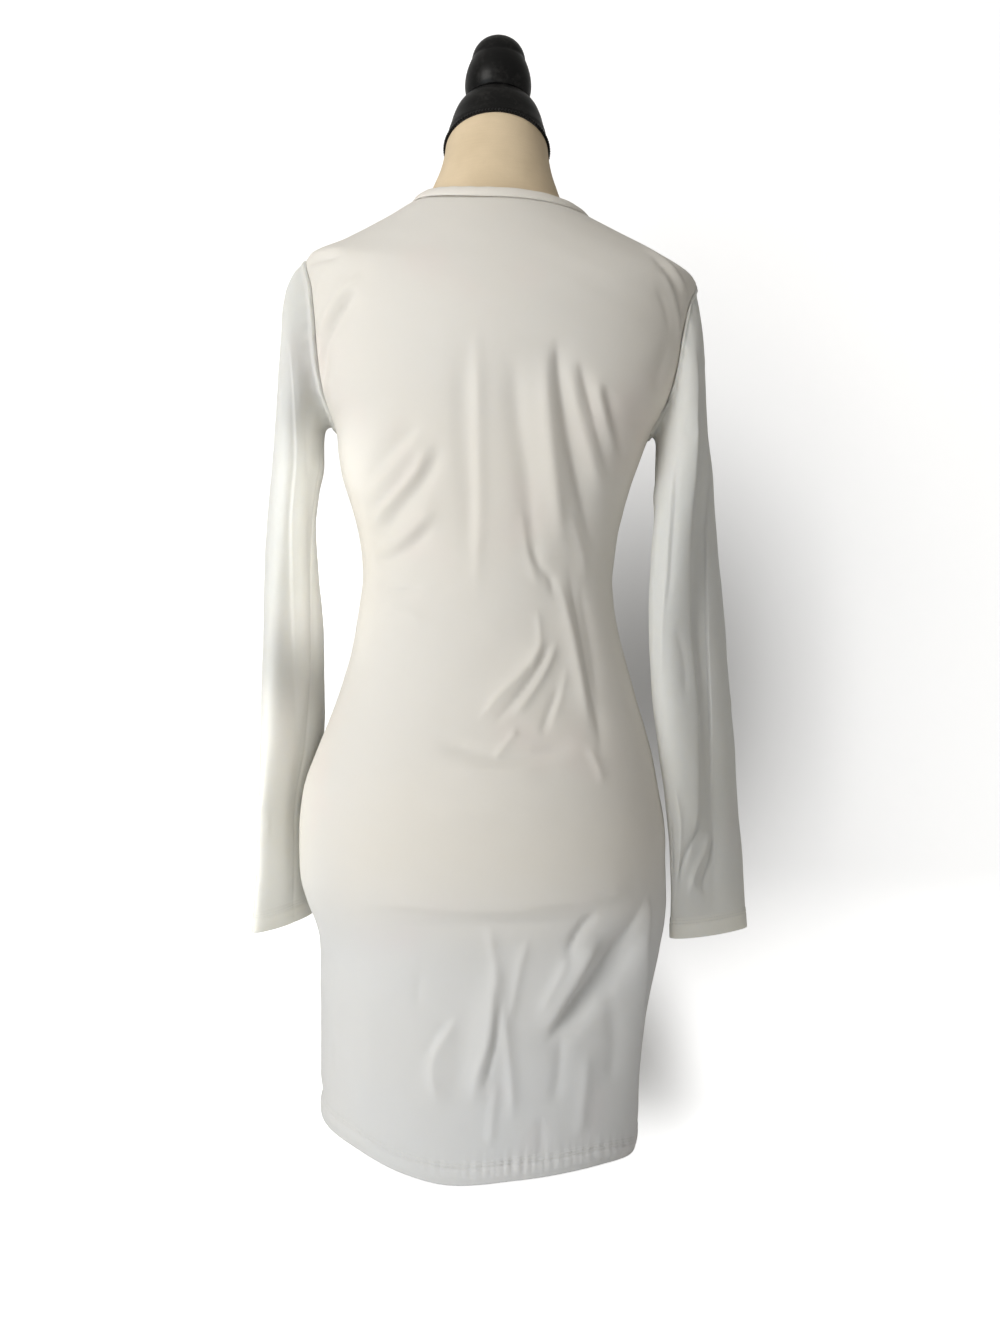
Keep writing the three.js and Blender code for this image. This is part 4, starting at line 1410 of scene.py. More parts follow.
    def build(self, material: bpy.types.Material) -> bpy.types.Object:
        """Makes the sleeve.

        Args:
            material: finish of the cloth.

        Returns:
            The piece.
        """
        self.shape()
        run = run_along(self.outer, 0)
        hem = smooth_step((self.cuff_depth + 1 - (run[-1:] - run)) / 2)
        inner = self.outer - self.normal * (self.wall * (1 + hem))[..., None]
        closed = np.concatenate([self.outer, self.outer[:, :1]], axis=1)
        across = run_along(closed, 1)
        along = np.repeat(run.mean(axis=1)[:, None], self.around + 1, axis=1)
        uv = np.stack([across, -along], axis=-1) * MM
        mesh = shell_mesh(self.name, self.outer, inner, uv, True, self.side > 0)
        return add_piece(self.name, mesh, material, [self.node])

    def cuff_lines(self) -> list[Array]:
        """Points along the two rows of cuff stitches."""
        run = run_along(self.outer, 0)
        depth = (run[-1:] - run).mean(axis=1)
        lines = []
        for stitch in self.stitch_depths:
            row = int(np.argmin(np.abs(depth - stitch)))
            ring = self.outer[row] + self.normal[row] * 0.1
            lines.append(np.concatenate([ring, ring[:1]]))
        return lines


@dataclass
class Neckband:
    """Narrow crew neckband, folded double along its free edge."""

    name: str = "neck_binding"
    columns: int = 260
    steps: int = 13
    wall: float = 2.0
    roll: float = 0.8
    gap: float = 0.35

    def build(self, material: bpy.types.Material) -> bpy.types.Object:
        """Makes the band.

        Args:
            material: finish of the cloth.

        Returns:
            The piece.
        """
        angle = np.linspace(0, 2 * math.pi, self.columns, endpoint=False)
        level = np.full_like(angle, NECK_LEVEL)
        seam = cloth_point(level, angle)
        edge = ring_point({k: np.asarray(v) for k, v in NECK_EDGE.items()}, angle)
        up = unit(edge - seam)
        normal = normal_of(cloth_point, level - 0.5, angle, 0.5, 0.004)
        seam = seam + up * self.gap
        share = np.linspace(0, 1, self.steps)
        outer, inner = [], []
        wave = 0.16 * np.sin(angle * 23 + 2 * np.sin(angle * 3))
        for t in share:
            p = seam * (1 - t) + edge * t
            rounded = math.sqrt(max(0.0, 1 - (2 * t - 1) ** 4))
            half = self.wall / 2 * (0.35 + 0.65 * rounded)
            middle = p + normal * (self.roll * math.sin(math.pi * t) - 0.3 + wave * t)[:, None]
            outer.append(middle + normal * half)
            inner.append(middle - normal * half)
        outer_grid, inner_grid = np.array(outer), np.array(inner)
        closed = np.concatenate([outer_grid, outer_grid[:, :1]], axis=1)
        across = run_along(closed, 1).mean(axis=0)[None, :].repeat(self.steps, axis=0)
        along = (share * 8)[:, None].repeat(self.columns + 1, axis=1)
        uv = np.stack([across, along], axis=-1) * MM
        mesh = shell_mesh(self.name, outer_grid, inner_grid, uv, True, False)
        return add_piece(self.name, mesh, material, ["neckband"])


# The form and its stand
@dataclass
class Torso:
    """Smooth torso and slanted neck of the form."""

    name: str = "torso_cover"
    columns: int = 128
    step: float = 6.0

    def rings(self) -> list[Array]:
        """Rings of the torso and the neck, lowest first."""
        angle = np.linspace(0, 2 * math.pi, self.columns, endpoint=False)
        edge_levels = FORM_BOTTOM + FORM_EDGE * np.linspace(0, 1, 6) ** 2
        levels = np.concatenate([edge_levels, np.arange(FORM_BOTTOM + FORM_EDGE + self.step, NECK_LEVEL, self.step), [NECK_LEVEL]])
        sections = []
        for level in levels:
            s = {k: float(v) for k, v in BODY.at(np.array(level)).items()}
            inset = {k: float(v) for k, v in FORM_INSET.at(np.array(level)).items()}
            t = min(1.0, max(0.0, (level - FORM_BOTTOM) / FORM_EDGE))
            edge = FORM_EDGE * (1 - math.sqrt(t))
            drop = YOKE_DROP * float(smooth_step((level - TIP_LEVEL + 30) / 24))
            for key, sunk in (("left", "side"), ("right", "side"), ("back", "back"), ("front", "front")):
                s[key] -= inset[sunk] + edge
            for key, share in (("leftZ", 1), ("rightZ", 1), ("backZ", 0.5), ("frontZ", 0.5)):
                s[key] -= drop * share
            sections.append([s[k] for k in SECTION_COLUMNS])
        neck = Table(SECTION_COLUMNS, [sections[-1], *FORM_NECK])
        for level in np.linspace(NECK_LEVEL, FORM_NECK[-1][0], 24)[1:]:
            row = neck.at(np.array(level))
            sections.append([float(row[k]) for k in SECTION_COLUMNS])
        rings = []
        for values in sections:
            rings.append(ring_point({k: np.asarray(v) for k, v in zip(SECTION_COLUMNS, values)}, angle))
        return rings

    def build(self, material: bpy.types.Material) -> bpy.types.Object:
        """Makes the torso, cut off at the neck's slanted top.

        Args:
            material: finish of its cover.

        Returns:
            The piece.
        """
        mesh = ringed_mesh(self.name, self.rings())
        cut_slanted(mesh, keep_below=True)
        return add_piece(self.name, mesh, material, ["form_torso"])


def cut_slanted(mesh: bpy.types.Mesh, keep_below: bool) -> None:
    """Cuts a closed mesh along the neck's slanted top and closes it.

    Args:
        mesh: the mesh, changed in place.
        keep_below: keeps what is below the slant, else what is above.
    """
    work = bmesh.new()
    work.from_mesh(mesh)
    lift = 0.0 if keep_below else 0.3
    place = Vector((0, 0, (NECK_TOP + lift) * MM))
    upward = Vector((0, math.sin(NECK_SLANT), math.cos(NECK_SLANT)))
    cut = bmesh.ops.bisect_plane(
        work, geom=work.verts[:] + work.edges[:] + work.faces[:], plane_co=place, plane_no=upward,
        clear_outer=keep_below, clear_inner=not keep_below,
    )
    edges = [item for item in cut["geom_cut"] if isinstance(item, bmesh.types.BMEdge)]
    bmesh.ops.holes_fill(work, edges=edges, sides=0)
    bmesh.ops.recalc_face_normals(work, faces=work.faces[:])
    work.to_mesh(mesh)
    work.free()
    mesh.set_sharp_from_angle(angle=math.radians(40))


@dataclass
class NeckFinish:
    """Turned cap with a beaded lower edge, and the knob above it."""

    cap_profile: tuple[tuple[float, float], ...] = (
        (47.6, 866), (47.8, 888), (46.6, 896), (43.8, 903.5), (43.9, 905.5),
        (41.8, 912), (39.4, 920), (35.4, 928.5), (30, 934.8), (26.4, 937),
    )
    knob_profile: tuple[tuple[float, float], ...] = (
        (26.6, 937.3), (28.6, 941), (29.8, 948), (29.3, 956), (27.4, 963.5), (25, 969.6),
        (24.2, 971), (23.8, 974.5), (21.8, 980), (17.6, 985.4), (10.5, 989.6), (0.2, 991),
    )
    segments: int = 144
    beads: int = 108
    bead_size: float = 1.25

    def build(self, material: bpy.types.Material) -> list[bpy.types.Object]:
        """Makes the cap, its beaded edge and the knob.

        Args:
            material: the black lacquer.

        Returns:
            The pieces.
        """
        cap = turned_mesh("neck_cap", self.cap_profile, self.segments, 4)
        cut_slanted(cap, keep_below=False)
        knob = turned_mesh("turned_knob", self.knob_profile, self.segments, 4)
        return [
            add_piece("neck_cap", cap, material, ["form_cap"]),
            add_piece("cap_beading", self.beading(material), material),
            add_piece("turned_knob", knob, material, ["form_finial"]),
        ]

    def beading(self, material: bpy.types.Material) -> bpy.types.Mesh:
        """Row of small beads along the cap's slanted lower edge, made by Geometry Nodes."""
        tree = bpy.data.node_groups.new("beaded_edge", "GeometryNodeTree")
        tree.interface.new_socket("Edge", in_out="INPUT", socket_type="NodeSocketGeometry")
        count = tree.interface.new_socket("Beads", in_out="INPUT", socket_type="NodeSocketInt").identifier
        size = tree.interface.new_socket("Radius", in_out="INPUT", socket_type="NodeSocketFloat").identifier
        tree.interface.new_socket("Beading", in_out="OUTPUT", socket_type="NodeSocketGeometry")
        sheet = NodeSheet(tree)
        source = sheet.add("NodeGroupInput")
        curve = sheet.add("GeometryNodeMeshToCurve", {"Mesh": source.outputs["Edge"]})
        even = sheet.add(
            "GeometryNodeResampleCurve", {"Curve": curve.outputs[0], "Count": source.outputs["Beads"]}
        )
        bead = sheet.add(
            "GeometryNodeMeshUVSphere", {"Segments": 10, "Rings": 8, "Radius": source.outputs["Radius"]}
        )
        laid = sheet.add(
            "GeometryNodeInstanceOnPoints", {"Points": even.outputs[0], "Instance": bead.outputs[0]}
        )
        real = sheet.add("GeometryNodeRealizeInstances", {"Geometry": laid.outputs[0]})
        dressed = sheet.add("GeometryNodeSetMaterial", {"Geometry": real.outputs[0], "Material": material})
        sheet.add("NodeGroupOutput", {0: dressed.outputs[0]})
        angle = np.linspace(0, 2 * math.pi, 240)
        radius = self.cap_profile[0][0] - 0.5
        x, y = radius * np.cos(angle), radius * np.sin(angle)
        z = NECK_TOP + 0.9 - y * math.tan(NECK_SLANT)
        ring = np.column_stack([x, y, z]) * MM
        mesh = bpy.data.meshes.new("edge_line")
        mesh.from_pydata(ring.tolist(), [(k, k + 1) for k in range(len(ring) - 1)], [])
        carrier = bpy.data.objects.new("edge_line", mesh)
        bpy.context.scene.collection.objects.link(carrier)
        modifier = carrier.modifiers.new("beads", "NODES")
        modifier.node_group = tree
        modifier[count] = self.beads
        modifier[size] = self.bead_size * MM
        return plain_from(carrier, "cap_beading")


@dataclass
class Stand:
    """Post and round foot inside the skirt."""

    post_profile: tuple[tuple[float, float], ...] = (
        (20, 12.3), (20, 28.3), (12.5, 32.3), (12.5, 215.7), (20, 221.7), (20, 227.7),
    )
    foot_profile: tuple[tuple[float, float], ...] = (
        (69.4, 0.0), (70, 0.6), (70, 9.0), (69.1, 11.1), (67, 12), (24, 12.0),
    )
    segments: int = 96

    def build(self, material: bpy.types.Material) -> list[bpy.types.Object]:
        """Makes the post and the foot.

        Args:
            material: the black paint.

        Returns:
            The pieces.
        """
        pieces = []
        for name, profile, node in (
            ("stand_post", self.post_profile, "stand_pole"),
            ("stand_foot", self.foot_profile, "stand_base"),
        ):
            mesh = turned_mesh(name, profile, self.segments, 1)
            mesh.set_sharp_from_angle(angle=math.radians(40))
            pieces.append(add_piece(name, mesh, material, [node]))
        return pieces


# Camera, light and floor
@dataclass(frozen=True)
class SoftBox:
    """One soft light."""

    name: str
    place: tuple[float, float, float]
    aim: tuple[float, float, float]
    size: tuple[float, float]
    power: float
    colour: tuple[float, float, float]
    spread: float = 180

    def build(self) -> None:
        """Hangs the light."""
        data = bpy.data.lights.new(self.name, "AREA")
        data.shape = "RECTANGLE"
        data.size, data.size_y = self.size
        data.energy = self.power
        data.color = self.colour
        data.spread = math.radians(self.spread)
        light = bpy.data.objects.new(self.name, data)
        light.location = self.place
        way = Vector(self.aim) - Vector(self.place)
        light.rotation_euler = way.to_track_quat("-Z", "Y").to_euler()
        bpy.context.scene.collection.objects.link(light)


@dataclass
class Studio:
    """Pale floor that sweeps up behind the form, soft lights and the camera."""

    floor_half: float = 3.2
    wall_distance: float = 0.12
    sweep: float = 0.18
    wall_height: float = 3.4
    floor_colour: Colour = (0.93, 0.93, 0.93, 1)
    wall_colour: Colour = (0.5, 0.5, 0.5, 1)
    # Painted light on the paper, seen only by the camera: strongest on the floor, where it paints out the dress's
    # shadow, weaker on the grey wall, and dimmed to painted shadows in two spots beside the form.
    floor_painted_light: float = 0.92
    wall_painted_light: float = 0.68
    painted_light_rise: float = 0.2
    darkest_painted_shadow: float = 0.15
    painted_shadows: tuple[tuple[tuple[float, float, float], tuple[float, float, float]], ...] = (
        ((0.19, 0.3, 0.4), (0.26, 0.5, 0.38)),
        ((0.16, 0.17, 0.03), (0.1, 0.2, 0.12)),
    )
    world_colour: Colour = (1.0, 0.975, 0.92, 1)
    world_strength: float = 0.32
    eye: tuple[float, float, float] = (0.0126, -0.9, 0.428)
    roll: float = 1.2
    lens: float = 27.0
    lights: tuple[SoftBox, ...] = (
        SoftBox("key", (-1.5, -1.75, 1.25), (0, 0, 0.5), (1.1, 1.5), 38, (1.0, 0.98, 0.95)),
        SoftBox("low_window", (-1.3, -1.5, 0.2), (0, 0, 0.15), (0.9, 0.6), 4, (0.7, 0.87, 1.0)),
        SoftBox("upper_strip", (0.08, -1.1, 0.53), (-0.156, 0, 0.53), (0.03, 0.17), 0.036, (1.0, 0.99, 0.93), 5),
        SoftBox("lower_strip", (-0.187, -1.1, 0.3), (-0.187, 0, 0.3), (0.05, 0.2), 0.026, (1.0, 0.98, 0.9), 5),
    )

    def build(self) -> None:
        """Sets the stage."""
        self.build_camera()
        self.build_backdrop()
        world = bpy.data.worlds.new("soft_room")
        bpy.context.scene.world = world
        world.use_nodes = True
        ground = world.node_tree.nodes["Background"]
        ground.inputs["Color"].default_value = self.world_colour
        ground.inputs["Strength"].default_value = self.world_strength
        for light in self.lights:
            light.build()
        bpy.context.scene.view_settings.view_transform = "Standard"

    def build_camera(self) -> None:
        """Places the camera behind the form, a little rolled."""
        data = bpy.data.cameras.new("camera")
        data.lens = self.lens
        data.sensor_width = 36.0
        data.clip_start = 0.01
        data.dof.use_dof = False
        camera = bpy.data.objects.new("camera", data)
        bpy.context.scene.collection.objects.link(camera)
        turned = Matrix.Rotation(math.radians(90), 4, "X") @ Matrix.Rotation(math.radians(self.roll), 4, "Z")
        camera.matrix_world = Matrix.Translation(self.eye) @ turned
        bpy.context.scene.camera = camera

    def painted_backdrop_light(self, sheet: NodeSheet, place: bpy.types.NodeSocket) -> bpy.types.NodeSocket:
        """Painted light on the paper, seen only by the camera: brighter on the floor, where it paints out the dress's
        shadow, and dimmed to two painted shadows beside the form.

        Args:
            sheet: the paper's nodes.
            place: the paper's coordinates.

        Returns:
            The glow's colour. It shows in the picture and lights nothing.
        """
        height = sheet.add("ShaderNodeSeparateXYZ", {"Vector": place}).outputs["Z"]
        glow = sheet.add(
            "ShaderNodeMapRange",
            {"Value": height, "From Max": self.painted_light_rise, "To Min": self.floor_painted_light, "To Max": self.wall_painted_light},
        ).outputs[0]
        # Each spot is a painted shadow: the painted light falls to its depth at the spot's middle.
        for middle, reach in self.painted_shadows:
            away = sheet.add("ShaderNodeVectorMath", {0: place, 1: middle}, operation="SUBTRACT")
            away = sheet.add("ShaderNodeVectorMath", {0: away.outputs[0], 1: reach}, operation="DIVIDE")
            length = sheet.add("ShaderNodeVectorMath", {0: away.outputs[0]}, operation="LENGTH").outputs["Value"]
            clear = sheet.add(
                "ShaderNodeMapRange",
                {"Value": length, "From Max": 1.1, "To Min": self.darkest_painted_shadow},
                interpolation_type="SMOOTHSTEP",
            )
            glow = sheet.math("MULTIPLY", glow, clear.outputs[0])
        seen = sheet.math("MULTIPLY", glow, sheet.add("ShaderNodeLightPath").outputs["Is Camera Ray"])
        return sheet.add("ShaderNodeCombineColor", {0: seen, 1: seen, 2: seen}).outputs[0]

    def build_backdrop(self) -> None:
        """Makes the floor and its sweep. The sweep is clear from behind, so it hides no side of the dress."""
        line = [(-self.floor_half, 0.0)]
        for k in range(25):
            a = math.pi / 2 * k / 24
            line.append((
                self.wall_distance + self.sweep * math.sin(a),
                self.sweep * (1 - math.cos(a)),
            ))
        line.append((self.wall_distance + self.sweep, self.wall_height))
        points = [(x, y, z) for y, z in line for x in (-self.floor_half, self.floor_half)]
        faces = [[2 * i, 2 * i + 1, 2 * i + 3, 2 * i + 2] for i in range(len(line) - 1)]
        mesh = plain_mesh("backdrop", np.array(points), faces)
        material, sheet, shader = new_material("pale_paper")
        place = sheet.add("ShaderNodeTexCoord")
        fibre = sheet.add("ShaderNodeTexNoise", {"Vector": place.outputs["Object"], "Scale": 6.0, "Detail": 4})
        height = sheet.add("ShaderNodeSeparateXYZ", {"Vector": place.outputs["Object"]}).outputs["Z"]
        up = sheet.add("ShaderNodeMapRange", {"Value": height, "From Max": self.sweep}).outputs[0]
        grey = sheet.blend(up, self.floor_colour, self.wall_colour)
        flecked = sheet.blend(sheet.math("MULTIPLY", fibre.outputs[0], 0.02), grey, (0.7, 0.7, 0.69, 1))
        sheet.tree.links.new(flecked, shader.inputs["Base Color"])
        shader.inputs["Roughness"].default_value = 0.9
        shader.inputs["Specular IOR Level"].default_value = 0.1
        # The paper's emission is the painted light and painted shadows.
        sheet.tree.links.new(self.painted_backdrop_light(sheet, place.outputs["Object"]), shader.inputs["Emission Color"])
        shader.inputs["Emission Strength"].default_value = 1.0
        behind = sheet.add("ShaderNodeNewGeometry").outputs["Backfacing"]
        sheet.tree.links.new(sheet.math("SUBTRACT", 1.0, behind), shader.inputs["Alpha"])
        mesh.materials.append(material)
        backdrop = bpy.data.objects.new("backdrop", mesh)
        bpy.context.scene.collection.objects.link(backdrop)


# Creases that only the cloth of the scene has, placed as the photograph shows them
BACK_CREASES = (
    # armhole and shoulder, left
    Fold(((-108, 737), (-121, 729), (-133, 716), (-143, 699), (-148, 678), (-149, 662)), 4.5, 12, -5.5, 1.6, 0.25, 0.2),
    Fold(((-104, 748), (-120, 741), (-136, 726), (-149, 704)), 6, 5, 2.2, 1.8),
    Fold(((-164, 776), (-148, 772), (-124, 768)), 3.5, 7, -2.6, 1.6, 0.2, 0.4),
    Fold(((-166, 784), (-146, 780), (-122, 775)), 5, 4, 1.2, 1.8),
    Fold(((-142, 764), (-150, 748), (-154, 732)), 4, 4, 1.4),
    Fold(((-140, 676), (-134, 654), (-128, 640)), 5, 5, 1.3),
    # shoulder, right
    Fold(((122, 792), (142, 779), (160, 760), (168, 742)), 3.5, 3, 1.8, 1.6),
    Fold(((132, 778), (148, 762), (160, 742), (165, 720)), 3.5, 3, -1.7, 1.6),
    Fold(((140, 764), (152, 746), (159, 722), (158, 700)), 3, 3, 1.4, 1.6),
    Fold(((136, 748), (146, 730), (150, 712)), 3, 3, -0.9, 1.6),
    Fold(((150, 706), (142, 680), (136, 660)), 6, 5, -1.2, 1.6),
    # waist, left
    Fold(((-54, 626), (-66, 616), (-83, 601), (-100, 585), (-112, 573)), 8, 7, -2.4, 1.8),
    Fold(((-52, 616), (-70, 599), (-88, 580), (-106, 562)), 6, 6, 1.7, 1.8),
    Fold(((-54, 602), (-74, 578), (-92, 564), (-110, 551)), 7, 6, -2.6, 1.8),
    Fold(((-44, 612), (-64, 581), (-88, 557), (-106, 541)), 6, 6, 2.0, 1.8),
    Fold(((-36, 610), (-53, 579), (-70, 560), (-88, 538), (-102, 525)), 8, 7, -2.8, 1.8),
    Fold(((-42, 560), (-60, 541), (-80, 529), (-100, 525)), 5, 5, 1.4, 1.8),
    Fold(((-42, 545), (-64, 526), (-84, 517), (-102, 514)), 6, 6, -2.0, 1.8),
    Fold(((-98, 499), (-76, 491), (-50, 494)), 4, 5, -1.4, 1.6),
    Fold(((-90, 476), (-66, 470), (-48, 460)), 5, 6, 0.9, 1.8),
    # middle of the back
    Fold(((-21, 692), (-20, 620), (-14, 548), (-16, 510)), 10, 7, -1.7, 2),
    Fold(((-12, 704), (-10, 641), (-8, 563), (-8, 480)), 5, 6, 1.4, 1.8),
    Fold(((17, 686), (23, 626), (32, 580), (38, 534), (47, 506)), 9, 8, -2.4, 1.8),
    Fold(((34, 534), (43, 512), (53, 501), (57, 482)), 3.5, 4, -1.9, 1.5),
    Fold(((26, 560), (34, 520), (44, 492)), 4, 4, 1.1),
    # right of the back
    Fold(((42, 692), (47, 628), (56, 566), (64, 520)), 7, 5, 1.8, 1.8),
    Fold(((52, 696), (56, 659), (63, 622), (73, 583), (85, 544), (95, 518)), 4.5, 9, -3.8, 1.4, 0.15, 0.4),
    Fold(((62, 676), (70, 642), (82, 606), (96, 570)), 5, 5, 1.6, 1.8),
    Fold(((70, 680), (80, 647), (90, 617), (104, 582)), 4, 7, -3.0, 1.4, 0.2, 0.3),
    Fold(((84, 664), (94, 636), (106, 604)), 4, 4, 1.5, 1.8),
    Fold(((93, 660), (103, 631), (115, 602)), 4, 6, -2.4, 1.4, 0.2, 0.3),
    Fold(((66, 560), (78, 528), (84, 500)), 5, 5, 1.2),
    # small of the back
    Fold(((50, 454), (32, 426), (12, 405), (-6, 382)), 3.2, 3.6, 2.0, 1.4),
    Fold(((55, 452), (42, 425), (26, 403), (6, 380)), 3, 3, -1.7, 1.4),
    Fold(((60, 453), (51, 430), (40, 410), (22, 386)), 3, 3.6, 1.9, 1.4),
    Fold(((62, 414), (53, 392), (46, 372)), 3, 3.6, -1.6, 1.4),
    Fold(((68, 430), (62, 404), (54, 380)), 3, 3.4, 1.2, 1.4),
    Fold(((29, 380), (18, 366), (8, 354)), 2.6, 3, 1.6, 1.4),
    Fold(((42, 478), (44, 444), (35, 424)), 3, 3.4, 1.2, 1.4),
    Fold(((58, 508), (70, 462), (80, 416), (87, 374)), 4, 4, 1.5, 1.6),
    Fold(((66, 520), (78, 468), (87, 420), (96, 372), (93, 350)), 4, 6, -2.3, 1.5),
    Fold(((78, 504), (88, 452), (96, 400)), 4, 5, -1.6, 1.5),
    Fold(((84, 366), (92, 352), (98, 334)), 3.5, 4, 1.2, 1.5),
    Fold(((-42, 369), (-11, 361), (20, 357), (52, 361), (78, 366)), 7, 6, -2.4, 1.8),
    Fold(((-30, 348), (10, 346), (56, 349)), 6, 7, 1.0, 1.8),
    Fold(((-48, 310), (12, 316), (70, 308)), 7, 7, 0.8, 1.8),
    # lower edge of the form under the cloth
    Fold(((-118, 229), (-64, 237), (7, 236), (63, 241), (130, 246)), 17, 4.5, 1.9, 1.5, 0.3, 0.1),
    Fold(((-96, 218), (-20, 222), (60, 226), (110, 230)), 6, 6, -1.1, 1.6, 0.4, 0.2),
    # skirt
    Fold(((150, 254), (132, 230), (118, 208), (103, 188), (87, 164), (70, 144), (52, 120)), 6, 4, -3.4, 1.5, 0.4, 0.3),
    Fold(((98, 214), (85, 188), (69, 160), (52, 130)), 7, 5, 2.6, 1.6),
    Fold(((97, 232), (84, 222), (75, 206), (72, 186)), 4, 5, -2.6, 1.6),
    Fold(((80, 214), (66, 181), (48, 146)), 5, 5, 1.8, 1.6),
    Fold(((140, 244), (139, 200), (137, 150), (134, 96), (133, 14)), 22, 3.2, 5.2, 1.3, 0.12, 0.06),
    Fold(((14, 200), (12, 163), (9, 131), (2, 107), (-3, 76)), 4, 4, 1.9, 1.4),
    Fold(((19, 168), (17, 139), (13, 115), (6, 86)), 3, 3, -2.0, 1.4),
    Fold(((19, 165), (24, 130), (28, 98), (31, 60)), 4, 5, 2.2, 1.4),
    Fold(((7, 228), (13, 195), (19, 163)), 4, 4, 1.2, 1.6),
    Fold(((40, 216), (34, 191), (29, 162), (27, 142)), 4, 4, 1.5, 1.6),
    Fold(((-11, 152), (-24, 133), (-33, 117), (-35, 100), (-27, 76)), 3.4, 4, 1.5, 1.4),
    Fold(((-20, 150), (-34, 130), (-42, 112)), 4, 3.4, -1.2, 1.4),
    Fold(((-46, 184), (-49, 154)), 4, 4, -0.9),
    Fold(((68, 134), (67, 104), (64, 74)), 5, 6, -1.7, 1.6),
    Fold(((90, 120), (88, 84), (84, 44)), 6, 6, 1.6, 1.6),
    Fold(((18, 100), (14, 75), (13, 42)), 4, 4, 1.5, 1.6),
    Fold(((52, 70), (54, 50), (52, 30)), 4, 4, -0.9, 1.6),
    Fold(((104, 176), (112, 130), (110, 80)), 7, 7, -1.2, 1.8),
    Fold(((-134, 226), (-138, 133), (-137, 48)), 3, 5, 2.2, 1.4, 0.15, 0.1),
    Fold(((-124, 200), (-128, 130), (-126, 60)), 4, 5, -0.8, 1.6),
    Fold(((-90, 170), (-88, 110), (-94, 50)), 9, 9, 0.8, 1.8),
)
FRONT_CREASES = (
    Fold(((118, 748), (138, 728), (148, 700)), 6, 6, -2.0),
    Fold(((-116, 752), (-132, 732), (-142, 704)), 6, 6, -2.0),
    Fold(((60, 640), (90, 610), (112, 575)), 6, 7, -1.4),
    Fold(((-58, 642), (-86, 612), (-108, 572)), 6, 7, 1.3),
    Fold(((-60, 584), (-80, 556), (-100, 528)), 5, 6, -1.4),
    Fold(((70, 574), (86, 548), (104, 520)), 5, 6, 1.3),
    Fold(((12, 560), (8, 500), (14, 440)), 6, 7, 1.0),
    Fold(((-10, 520), (-30, 470), (-56, 430)), 5, 6, -1.2),
    Fold(((40, 470), (20, 430), (-6, 400)), 5, 6, 1.3),
    Fold(((88, 486), (66, 478), (48, 482)), 4, 5, -0.9),
    Fold(((-84, 262), (-30, 250), (40, 256), (90, 264)), 7, 8, 0.9, 1.8),
    Fold(((-112, 218), (-84, 160), (-78, 80)), 6, 6, -1.8),
    Fold(((20, 200), (10, 130), (16, 44)), 6, 6, 1.6),
    Fold(((100, 200), (96, 120), (104, 44)), 7, 6, -1.6),
    Fold(((-40, 130), (-48, 80), (-44, 40)), 5, 6, 1.1),
    Fold(((48, 120), (44, 80), (48, 36)), 5, 5, -1.0),
)
# Creases of the sleeves: the first number of each point is the angle round the sleeve
LEFT_CREASES = (
    Fold(((287, 706), (275, 676), (261, 645), (252, 617), (248, 591), (250, 556), (241, 516), (229, 470), (217, 413),
          (203, 357), (194, 300)), 16, 34, -3.2, 1.4, 0.1, 0.3),
    Fold(((284, 706), (272, 676), (258, 645), (248, 617), (244, 591), (246, 556), (237, 516), (225, 470), (213, 413)),
         5, 4, 1.0, 1.5, 0.1, 0.2),
    Fold(((300, 730), (306, 700), (302, 660), (296, 620)), 12, 10, 1.4),
    Fold(((234, 668), (229, 640), (222, 608), (208, 584)), 9, 9, -1.3),
    Fold(((262, 752), (252, 730), (240, 706)), 9, 9, 1.2),
    Fold(((330, 520), (312, 500), (290, 492), (270, 500)), 9, 9, -0.8),
    Fold(((340, 340), (310, 330), (280, 336)), 12, 12, -0.8),
    Fold(((292, 300), (262, 286), (232, 290)), 11, 12, 1.2),
    Fold(((320, 262), (290, 244), (262, 240)), 10, 10, -0.9),
    Fold(((60, 560), (84, 530), (110, 512)), 9, 10, -1.4),
    Fold(((110, 440), (84, 420), (56, 412)), 9, 9, 1.2),
)
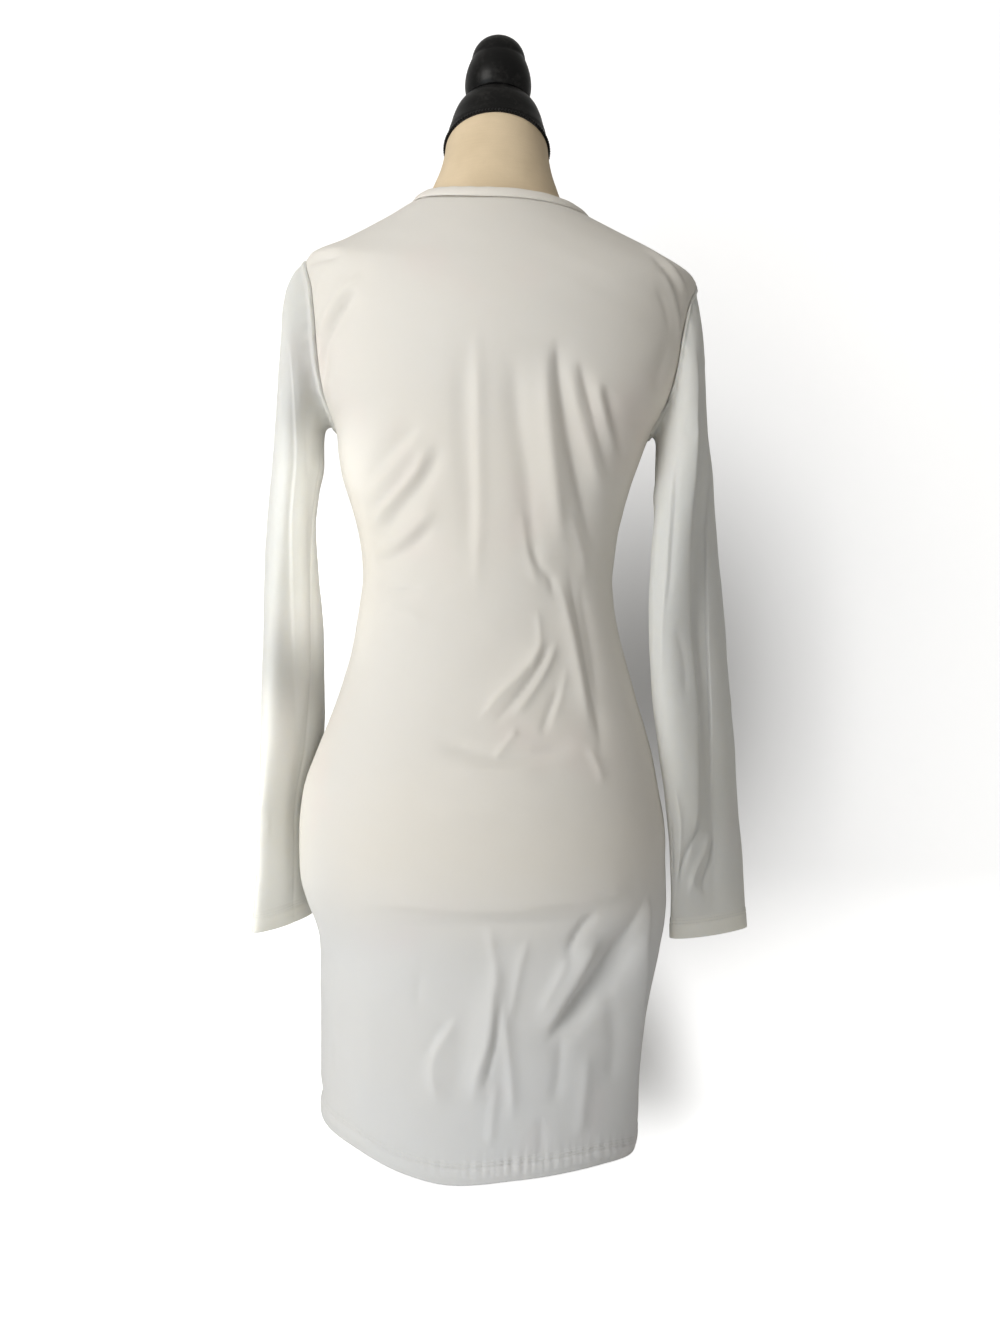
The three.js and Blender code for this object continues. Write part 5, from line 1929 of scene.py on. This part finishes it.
RIGHT_CREASES = (
    Fold(((293, 712), (290, 677), (288, 651), (291, 625), (299, 597), (313, 552), (320, 512), (325, 470), (331, 413),
          (329, 354), (326, 300), (310, 243)), 26, 5, 3.8, 1.2, 0.1, 0.15),
    Fold(((306, 700), (304, 650), (312, 600), (328, 552), (334, 512), (339, 470), (345, 413), (343, 354), (340, 300)),
         8, 30, -2.2, 1.5, 0.2, 0.2),
    Fold(((247, 612), (262, 586), (280, 552), (288, 512), (288, 470), (283, 413)), 5, 5, 1.0, 1.5),
    Fold(((254, 612), (269, 586), (287, 552), (295, 512), (295, 470)), 4, 5, -1.0, 1.5),
    Fold(((268, 720), (258, 690), (252, 660)), 9, 8, 1.4),
    Fold(((262, 640), (276, 628), (292, 632)), 7, 8, -0.9),
    Fold(((306, 470), (316, 440), (318, 400)), 6, 6, -1.2, 1.5),
    Fold(((336, 300), (324, 282), (306, 262), (296, 240)), 5, 4, -2.1, 1.4),
    Fold(((348, 290), (338, 268), (322, 250), (314, 228)), 4.5, 6, 2.1, 1.4),
    Fold(((360, 284), (352, 262), (340, 244), (336, 226)), 5, 4.5, -1.9, 1.4),
    Fold(((292, 330), (300, 300), (298, 268), (288, 238)), 5, 5, 1.7, 1.4),
    Fold(((276, 300), (282, 270), (276, 236)), 5, 5, -1.4, 1.4),
    Fold(((312, 250), (326, 236), (344, 228)), 6, 6, 1.0, 1.5),
    Fold(((60, 560), (84, 530), (110, 512)), 9, 10, -1.4),
    Fold(((110, 420), (84, 404), (56, 398)), 9, 9, 1.2),
)
LEFT_LONG_FOLDS = (LongFold(188, 14, 200, 690, 24, -5.0), LongFold(318, -10, 230, 640, 26, 2.2))
RIGHT_LONG_FOLDS = (LongFold(344, 8, 210, 700, 20, -6.0), LongFold(304, 6, 220, 660, 20, 2.4))


def main() -> None:
    """Builds the scene in order."""
    logging.basicConfig(level=logging.INFO, format="%(message)s", stream=sys.stdout)
    Studio().build()
    groups = Groups()
    jersey = Jersey().build(groups)
    # The sleeves' jersey is the panels' cloth painted brighter, as the light that shows on the sleeves.
    brightened_sleeve_jersey = Jersey(
        "brightened_sleeve_jersey", (0.8, 0.785, 0.715, 1), (0.795, 0.785, 0.73, 1), (0.805, 0.77, 0.715, 1),
        glow=0.6, glow_reach=0.005, form_and_painted_light=0.0,
    ).build(groups)
    thread = Thread().build(groups)
    linen = Linen().build(groups)
    lacquer = BlackFinish(
        "black_lacquer", (0.004, 0.004, 0.004, 1), 0.34, 0.0, 0.0, 0.2, 0.2, 0.0, 0.16
    ).build(groups)
    paint = BlackFinish("black_paint", (0.018, 0.018, 0.019, 1), 0.42, 0.1, 0.3, 0.1, 0.8, 0.25).build(groups)

    back = Panel("back_panel", "dress_back", Side.BACK, BACK_CREASES, 3)
    front = Panel("front_panel", "dress_front", Side.FRONT, FRONT_CREASES, 5)
    left = Sleeve("left_sleeve", "sleeve_left", -1, LEFT_SLEEVE, LEFT_LONG_FOLDS, LEFT_CREASES, 7)
    right = Sleeve("right_sleeve", "sleeve_right", 1, RIGHT_SLEEVE, RIGHT_LONG_FOLDS, RIGHT_CREASES, 9)
    pieces = {part.name: part.build(jersey) for part in (back, front, Neckband())}
    pieces |= {part.name: part.build(brightened_sleeve_jersey) for part in (left, right)}

    rows = StitchRow(thread)
    hem = rows.sew("hem_stitching", back.hem_lines() + front.hem_lines())
    cuffs = {part.name: rows.sew(part.name + "_stitching", part.cuff_lines()) for part in (left, right)}

    Torso().build(linen)
    NeckFinish().build(lacquer)
    Stand().build(paint)


if __name__ == "__main__":
    main()
